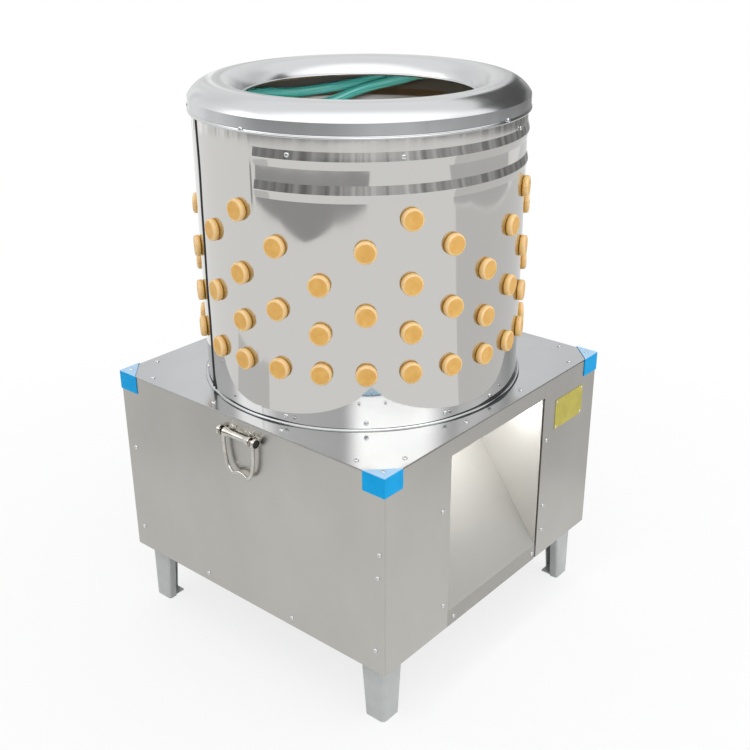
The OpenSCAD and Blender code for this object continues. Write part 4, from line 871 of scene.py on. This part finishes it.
# Legs: pressed from one sheet, folded round the corner with lips along the inner edges, tapering to the foot
leg_low, leg_high = box_mm("leg_front_right")
LEG_CORNER, LEG_TOP_W, LEG_H = leg_high.x, leg_high.x - leg_low.x, leg_high.z
LEG_FOOT_W, LEG_T, LEG_LIP = 36.0, 2.5, 14.0
LEG_FOLDS = (0, 4.0, 7.0, 4.0, 0)
FOLD_STEPS, LEG_STEPS, LEG_END = 8, 12, 1.2
PAD_T, PAD_GAP, PAD_CUT = 3.0, 0.3, 5.0


def folded(path, radii, inset):
    """Rounds the corners of an open path and moves it sideways by inset."""
    path = [Vector(p) for p in path]
    first, last = (path[1] - path[0]).normalized(), (path[-1] - path[-2]).normalized()
    line = [path[0] + inset * Vector((-first.y, first.x))]
    for before, corner, after, radius in zip(path, path[1:], path[2:], radii[1:]):
        into, out = (corner - before).normalized(), (after - corner).normalized()
        middle = corner + radius * (out - into)
        for k in range(FOLD_STEPS + 1):
            a = k / FOLD_STEPS * math.pi / 2
            line.append(middle + (radius - inset) * (into * math.sin(a) - out * math.cos(a)))
    return line + [path[-1] + inset * Vector((-last.y, last.x))]


def leg_ring(z):
    c, e = LEG_CORNER, LEG_CORNER - LEG_FOOT_W - (LEG_TOP_W - LEG_FOOT_W) * z / LEG_H
    path = [(c - LEG_LIP, e), (c, e), (c, c), (e, c), (e, c - LEG_LIP)]
    return folded(path, LEG_FOLDS, 0) + folded(path, LEG_FOLDS, LEG_T)[::-1]


def leg_pad(wide):
    """Corners of the plate that closes a leg of this width."""
    near, far = LEG_CORNER - wide + LEG_T + PAD_GAP, LEG_CORNER - LEG_T - PAD_GAP
    cut = far - PAD_CUT
    return [Vector(p) for p in ((near, near), (far, near), (far, cut), (cut, far), (near, far))]


leg_heights = [0, LEG_END] + [LEG_H * k / LEG_STEPS for k in range(1, LEG_STEPS)] + [LEG_H - LEG_END, LEG_H]
leg_shapes = [[(leg_ring(z), z) for z in leg_heights]]
leg_shapes += [[(leg_pad(wide), z + 0.2), (leg_pad(wide), z + PAD_T - 0.2)]
               for wide, z in ((LEG_FOOT_W, 0.0), (LEG_TOP_W, LEG_H - PAD_T))]
CORNERS = {"front_left": (-1, -1), "front_right": (1, -1), "rear_left": (-1, 1), "rear_right": (1, 1)}
for corner, (sx, sy) in CORNERS.items():
    leg = joined(skin([[at(sx * p.x, sy * p.y, z) for p in ring] for ring, z in rings])
                 for rings in leg_shapes)
    node = "leg_" + corner
    dress(shape_of(node + "_pressed", *leg, crisp=30), leg_enamel, "base", "leg_paint", node)

# Sheets, guards and small pieces: the solids' own shapes with eased edges
EASED = [
    (("top_plate",), 1.4, plate_steel, "base", "satin_stainless"),
    (("front_panel", "rear_panel", "side_panel", "discharge_panel", "access_panel"), 0.5, sheet_steel, "base",
     "satin_stainless"),
    (("chute_slope", "feather_pan"), 0.3, chute_steel, "base", "satin_stainless"),
    (("chute_side_left", "chute_side_right"), 0.3, lit_side_steel, "base", "satin_stainless"),
    (["corner_guard_" + corner for corner in CORNERS], 0.7, guard_plastic, "base", "guard_plastic"),
    (("name_plate",), 0.25, plate_lacquer, "base", "plate_yellow"),
    (("switch_box",), 1.2, switch_black, "base", "switch_plastic"),
    (("cable_gland",), 0.5, switch_black, "base", "switch_plastic"),
    (("start_button",), 0.6, button_green, "start_push_button", "button_green"),
    (("stop_button",), 0.6, button_red, "stop_push_button", "button_red"),
    (("turntable",), 0.5, sheet_steel, "turntable_rotor", "satin_stainless"),
    (("hub", "driven_pulley"), 0.6, cast_iron, "turntable_rotor", "cast_iron"),
    (("main_shaft", "cap_nut"), 0.4, bright_steel, "turntable_rotor", "shaft_steel"),
    (("upper_bearing", "lower_bearing"), 0.8, cast_iron, "base", "cast_iron"),
    (("motor_casing", "motor_fan_cover", "motor_terminal_box"), 0.5, motor_enamel, "base", "motor_paint"),
    (("motor_pulley",), 0.4, cast_iron, "motor_rotor", "cast_iron"),
    (("motor_shaft",), 0.4, bright_steel, "motor_rotor", "shaft_steel"),
    (("hose_inlet",), 0.3, handle_nickel, "base", "fitting_brass"),
    (("hose_nozzle",), 0.3, brass, "base", "fitting_brass"),
]
for names, width, coat, body, slot in EASED:
    for node in names:
        dress(eased(node, node + "_eased", width), coat, body, slot, node)

# The other solids stay as they are, in their own finishes
KEPT = {
    frame_primer: ("corner_posts", "bottom_rails", "beam_rails", "upper_beam", "lower_beam", "motor_rails",
                   "motor_plate"),
    black_rubber: ("wipers", "drive_belt"),
    bright_steel: ("bearing_bolts", "motor_bolts"),
    handle_nickel: ("handle_rivets",),
}
for coat, names in KEPT.items():
    for node in names:
        nodes[node].data.materials.clear()
        nodes[node].data.materials.append(coat)

# The hose starts on its inlet's barb and ends in its nozzle
dress(hose, hose_vinyl, "base", "hose_vinyl", "water_hose")

# Studio, in metres: pale floor that keeps the shadow, white behind, soft lamps
WHITE = (1, 1, 1, 1)


def seen_directly(tree):
    """1 for rays from the camera, and for those that a mirror or glass sends on."""
    path = add(tree, "ShaderNodeLightPath").outputs
    seen = path["Is Camera Ray"]
    for kind in ("Is Glossy Ray", "Is Transmission Ray"):
        seen = add(tree, "ShaderNodeMath", {0: seen, 1: path[kind]}, operation="MAXIMUM").outputs[0]
    return seen


def stage_piece(name, points, faces, material):
    mesh = bpy.data.meshes.new(name)
    mesh.from_pydata(points, [], faces)
    mesh.materials.append(material)
    thing = placed(name, mesh)
    return thing


def sheet_at(half, z):
    """Corners and face of a level square."""
    return [(-half, -half, z), (half, -half, z), (half, half, z), (-half, half, z)], [(0, 1, 2, 3)]


def where(tree):
    """Where a stage surface lies: its place, its angle round the object and its height."""
    place = add(tree, "ShaderNodeTexCoord").outputs["Object"]
    spot = add(tree, "ShaderNodeSeparateXYZ", {0: place}).outputs
    angle = add(tree, "ShaderNodeMath", {0: spot["Y"], 1: spot["X"]}, operation="ARCTAN2").outputs[0]
    return place, angle, spot["Z"]


# White paper floor: near the object it takes the shadow, further out it runs into the white behind
FLOOR_HALF, SHADOW_NEAR, SHADOW_FAR, SHADOW_FADE = 14, 0.5, 1.5, 0.8
floor_paper, tree = bare(bpy.data.materials.new("white_paper_floor"))
paper = add(tree, "ShaderNodeBsdfDiffuse", {"Color": (0.82, 0.82, 0.82, 1)})
white = add(tree, "ShaderNodeEmission", {"Color": WHITE, "Strength": 1.0})
away = add(tree, "ShaderNodeVectorMath", {0: where(tree)[0]}, operation="LENGTH")
fade = add(tree, "ShaderNodeMapRange",
           {"Value": away.outputs["Value"], "From Min": SHADOW_NEAR, "From Max": SHADOW_FAR,
            "To Min": SHADOW_FADE, "To Max": 1.0}, interpolation_type="SMOOTHSTEP")
share = add(tree, "ShaderNodeMath", {0: seen_directly(tree), 1: fade.outputs[0]}, operation="MULTIPLY")
both = add(tree, "ShaderNodeMixShader", {0: share.outputs[0], 1: paper.outputs[0], 2: white.outputs[0]})
add(tree, "ShaderNodeOutputMaterial", {"Surface": both.outputs[0]})
stage_piece("studio_floor", *sheet_at(FLOOR_HALF, 0), floor_paper)

only_mirrored = []


def card(name, points, faces, level):
    """A glowing card of one level, unless that is linked, which only the steel mirrors."""
    paper, tree = bare(bpy.data.materials.new(name))
    glow = add(tree, "ShaderNodeEmission", {"Color": WHITE, "Strength": level})
    add(tree, "ShaderNodeOutputMaterial", {"Surface": glow.outputs[0]})
    only_mirrored.append(stage_piece(name, points, faces, paper))
    return tree, glow


# Boards round the studio: levels by azimuth, near the floor and above it
LOW_GREYS = ((-180, 1.0), (-142, 0.9), (-128, 0.42), (-120, 0.29), (-82, 0.3), (-62, 0.42), (-45, 0.6),
             (-22, 0.6), (0, 0.45), (40, 0.4), (62, 0.26), (98, 0.28), (118, 0.6), (130, 0.95), (180, 1.0))
HIGH_GREYS = ((-180, 1.05), (-158, 1.2), (-146, 2.6), (-126, 2.6), (-112, 1.4), (-75, 1.25), (-60, 1.2),
              (0, 1.2), (20, 1.4), (40, 1.6), (60, 1.3), (85, 0.8), (116, 1.05), (180, 1.0))
LOW_ENDS, HIGH_STARTS = 2.7, 3.7
STRIPES, STRIPE_LOW, STRIPE_HIGH = 55, 0.55, 1.45
BOARD_PROFILE, BOARD_SIDES = ((4200, 4), (8000, 4), (8000, 8000)), 96
tree, glow = card("studio_boards", *skin(spun(BOARD_PROFILE, BOARD_SIDES), caps=False), 1.0)
angle, height = where(tree)[1:]
along = add(tree, "ShaderNodeMapRange",
            {"Value": angle, "From Min": -math.pi, "From Max": math.pi}).outputs[0]
greys = []
for levels in (LOW_GREYS, HIGH_GREYS):
    ramp = add(tree, "ShaderNodeValToRGB", {"Fac": along})
    stops = ramp.color_ramp.elements
    for _ in levels[2:]:
        stops.new(0.5)
    for stop, (deg, level) in zip(stops, levels):
        stop.position, stop.color = (deg + 180) / 360, (level, level, level, 1)
    greys.append(ramp.outputs[0])
raised = add(tree, "ShaderNodeMapRange", {"Value": height, "From Min": LOW_ENDS, "From Max": HIGH_STARTS},
             interpolation_type="SMOOTHSTEP")
stripe = add(tree, "ShaderNodeTexNoise", {"W": along, "Scale": STRIPES, "Detail": 3, "Roughness": 0.7},
             noise_dimensions="1D")
streaks = add(tree, "ShaderNodeMapRange",
              {"Value": stripe.outputs["Fac"], "From Min": CLOUD_LOW, "From Max": CLOUD_HIGH,
               "To Min": STRIPE_LOW, "To Max": STRIPE_HIGH})
streaked = add(tree, "ShaderNodeMix", {"Factor": 1.0, "A": greys[0], "B": streaks.outputs[0]},
               data_type="RGBA", blend_type="MULTIPLY")
mixed = add(tree, "ShaderNodeMix",
            {"Factor": raised.outputs[0], "A": streaked.outputs["Result"], "B": greys[1]}, data_type="RGBA")
tree.links.new(mixed.outputs["Result"], glow.inputs["Color"])

# Darker mats out on the floor: the level of each and its corners
MATS = {0.42: [(-1.55, -2.62), (-0.61, -2.70), (0.19, -2.52), (1.13, -2.52), (2.11, -2.15), (2.65, -2.45),
               (2.2, -3.0), (1.2, -3.5), (0, -3.7), (-1.0, -3.55), (-1.85, -3.2)],
        0.65: [(2.9, 0.7), (2.65, 1.35), (1.19, 2.85), (1.6, 3.6), (2.9, 2.6), (3.7, 1.2), (3.75, 0.6)],
        0.78: [(0.95, 0.3), (2.85, 0.75), (2.6, 1.35), (1.15, 2.8), (0, 4.0), (-1.4, 3.8), (-0.34, 0.94)],
        0.75: [(-0.75, -0.55), (-0.35, -0.85), (-0.55, -1.3), (-1.2, -1.0)]}
MAT_Z = 0.003
for level, corners in MATS.items():
    card("floor_mat", [(x, y, MAT_Z) for x, y in corners], [tuple(range(len(corners)))], level)

# A dark screen close behind the lid's right side
SCREEN_Y, SCREEN_CORNERS = 0.38, ((0.06, 0.92), (0.5, 0.92), (0.5, 1.3), (0.06, 1.3))
card("dark_screen", [(x, SCREEN_Y, z) for x, z in SCREEN_CORNERS], [(0, 1, 2, 3)], 0.1)

# A bright window strip high on the right of the camera, which fades to both ends: from one azimuth to another
STRIP_R, STRIP_HEIGHTS, STRIP_DEGS = 4300, (2150, 3300), range(-66, 23, 8)
STRIP_FADES = ((-64, -49), (18, -8))
STRIP_DIM, STRIP_BRIGHT = 1.2, 3.8
columns = len(STRIP_DEGS)
strip_points = [polar(STRIP_R, deg, z) for z in STRIP_HEIGHTS for deg in STRIP_DEGS]
strip_faces = [(k, k + 1, k + 1 + columns, k + columns) for k in range(columns - 1)]
tree, glow = card("window_strip", strip_points, strip_faces, STRIP_BRIGHT)
angle = where(tree)[1]
ends = [add(tree, "ShaderNodeMapRange",
            {"Value": angle, "From Min": math.radians(dim), "From Max": math.radians(bright),
             "To Min": STRIP_DIM, "To Max": STRIP_BRIGHT}, interpolation_type="SMOOTHSTEP").outputs[0]
        for dim, bright in STRIP_FADES]
least = add(tree, "ShaderNodeMath", {0: ends[0], 1: ends[1]}, operation="MINIMUM")
tree.links.new(least.outputs[0], glow.inputs["Strength"])

# The ceiling grows brighter towards the front right corner
CEILING_HALF, CEILING_Z = 9, 8
CEILING_WAY, CEILING_FROM, CEILING_TO = (0.656, -0.755, 0), -1.0, 2.0
CEILING_DIM, CEILING_BRIGHT = 1.2, 1.9
tree, glow = card("ceiling_board", *sheet_at(CEILING_HALF, CEILING_Z), CEILING_DIM)
near = add(tree, "ShaderNodeVectorMath", {0: where(tree)[0], 1: CEILING_WAY}, operation="DOT_PRODUCT")
slope = add(tree, "ShaderNodeMapRange",
            {"Value": near.outputs["Value"], "From Min": CEILING_FROM, "From Max": CEILING_TO,
             "To Min": CEILING_DIM, "To Max": CEILING_BRIGHT}, interpolation_type="SMOOTHSTEP")
tree.links.new(slope.outputs[0], glow.inputs["Strength"])
for thing in only_mirrored:
    thing.visible_camera = thing.visible_diffuse = thing.visible_transmission = thing.visible_shadow = False

scene.world, tree = bare(bpy.data.worlds.new("studio_white"))
soft = add(tree, "ShaderNodeBackground", {"Color": (0.96, 0.98, 1.0, 1), "Strength": 0.5})
white = add(tree, "ShaderNodeBackground", {"Color": WHITE, "Strength": 1.0})
both = add(tree, "ShaderNodeMixShader", {0: seen_directly(tree), 1: soft.outputs[0], 2: white.outputs[0]})
add(tree, "ShaderNodeOutputWorld", {"Surface": both.outputs[0]})


def softbox(name, place, aim, wide, high, watts, mirrored=False):
    """An area lamp that faces a point. Only a mirrored one shows in the steel."""
    light = bpy.data.lights.new(name, "AREA")
    light.shape, light.size, light.size_y, light.energy = "RECTANGLE", wide, high, watts
    lamp = placed(name, light)
    lamp.location = place
    lamp.rotation_euler = (Vector(aim) - Vector(place)).to_track_quat("-Z", "Y").to_euler()
    lamp.visible_camera = False
    lamp.visible_glossy = mirrored


softbox("ceiling_softbox", (0, 0, 3.4), (0, 0, 0), 6.0, 6.0, 130)
softbox("front_softbox", (2.9, -3.0, 2.75), (0, 0, 0.5), 2.4, 1.4, 24)
softbox("outlet_softbox", (2.2, 0.9, 1.3), (0.2, 0, 0.3), 1.6, 1.2, 7)
softbox("chute_lamp", (0.255, -0.01, 0.397), (0.14, 0.01, 0.33), 0.21, 0.02, 0.8, mirrored=True)
softbox("mouth_lamp", (0.1, -0.115, 0.868), (-0.157, 0.18, 0.835), 0.2, 0.03, 0.6)

scene.view_settings.view_transform = "Standard"
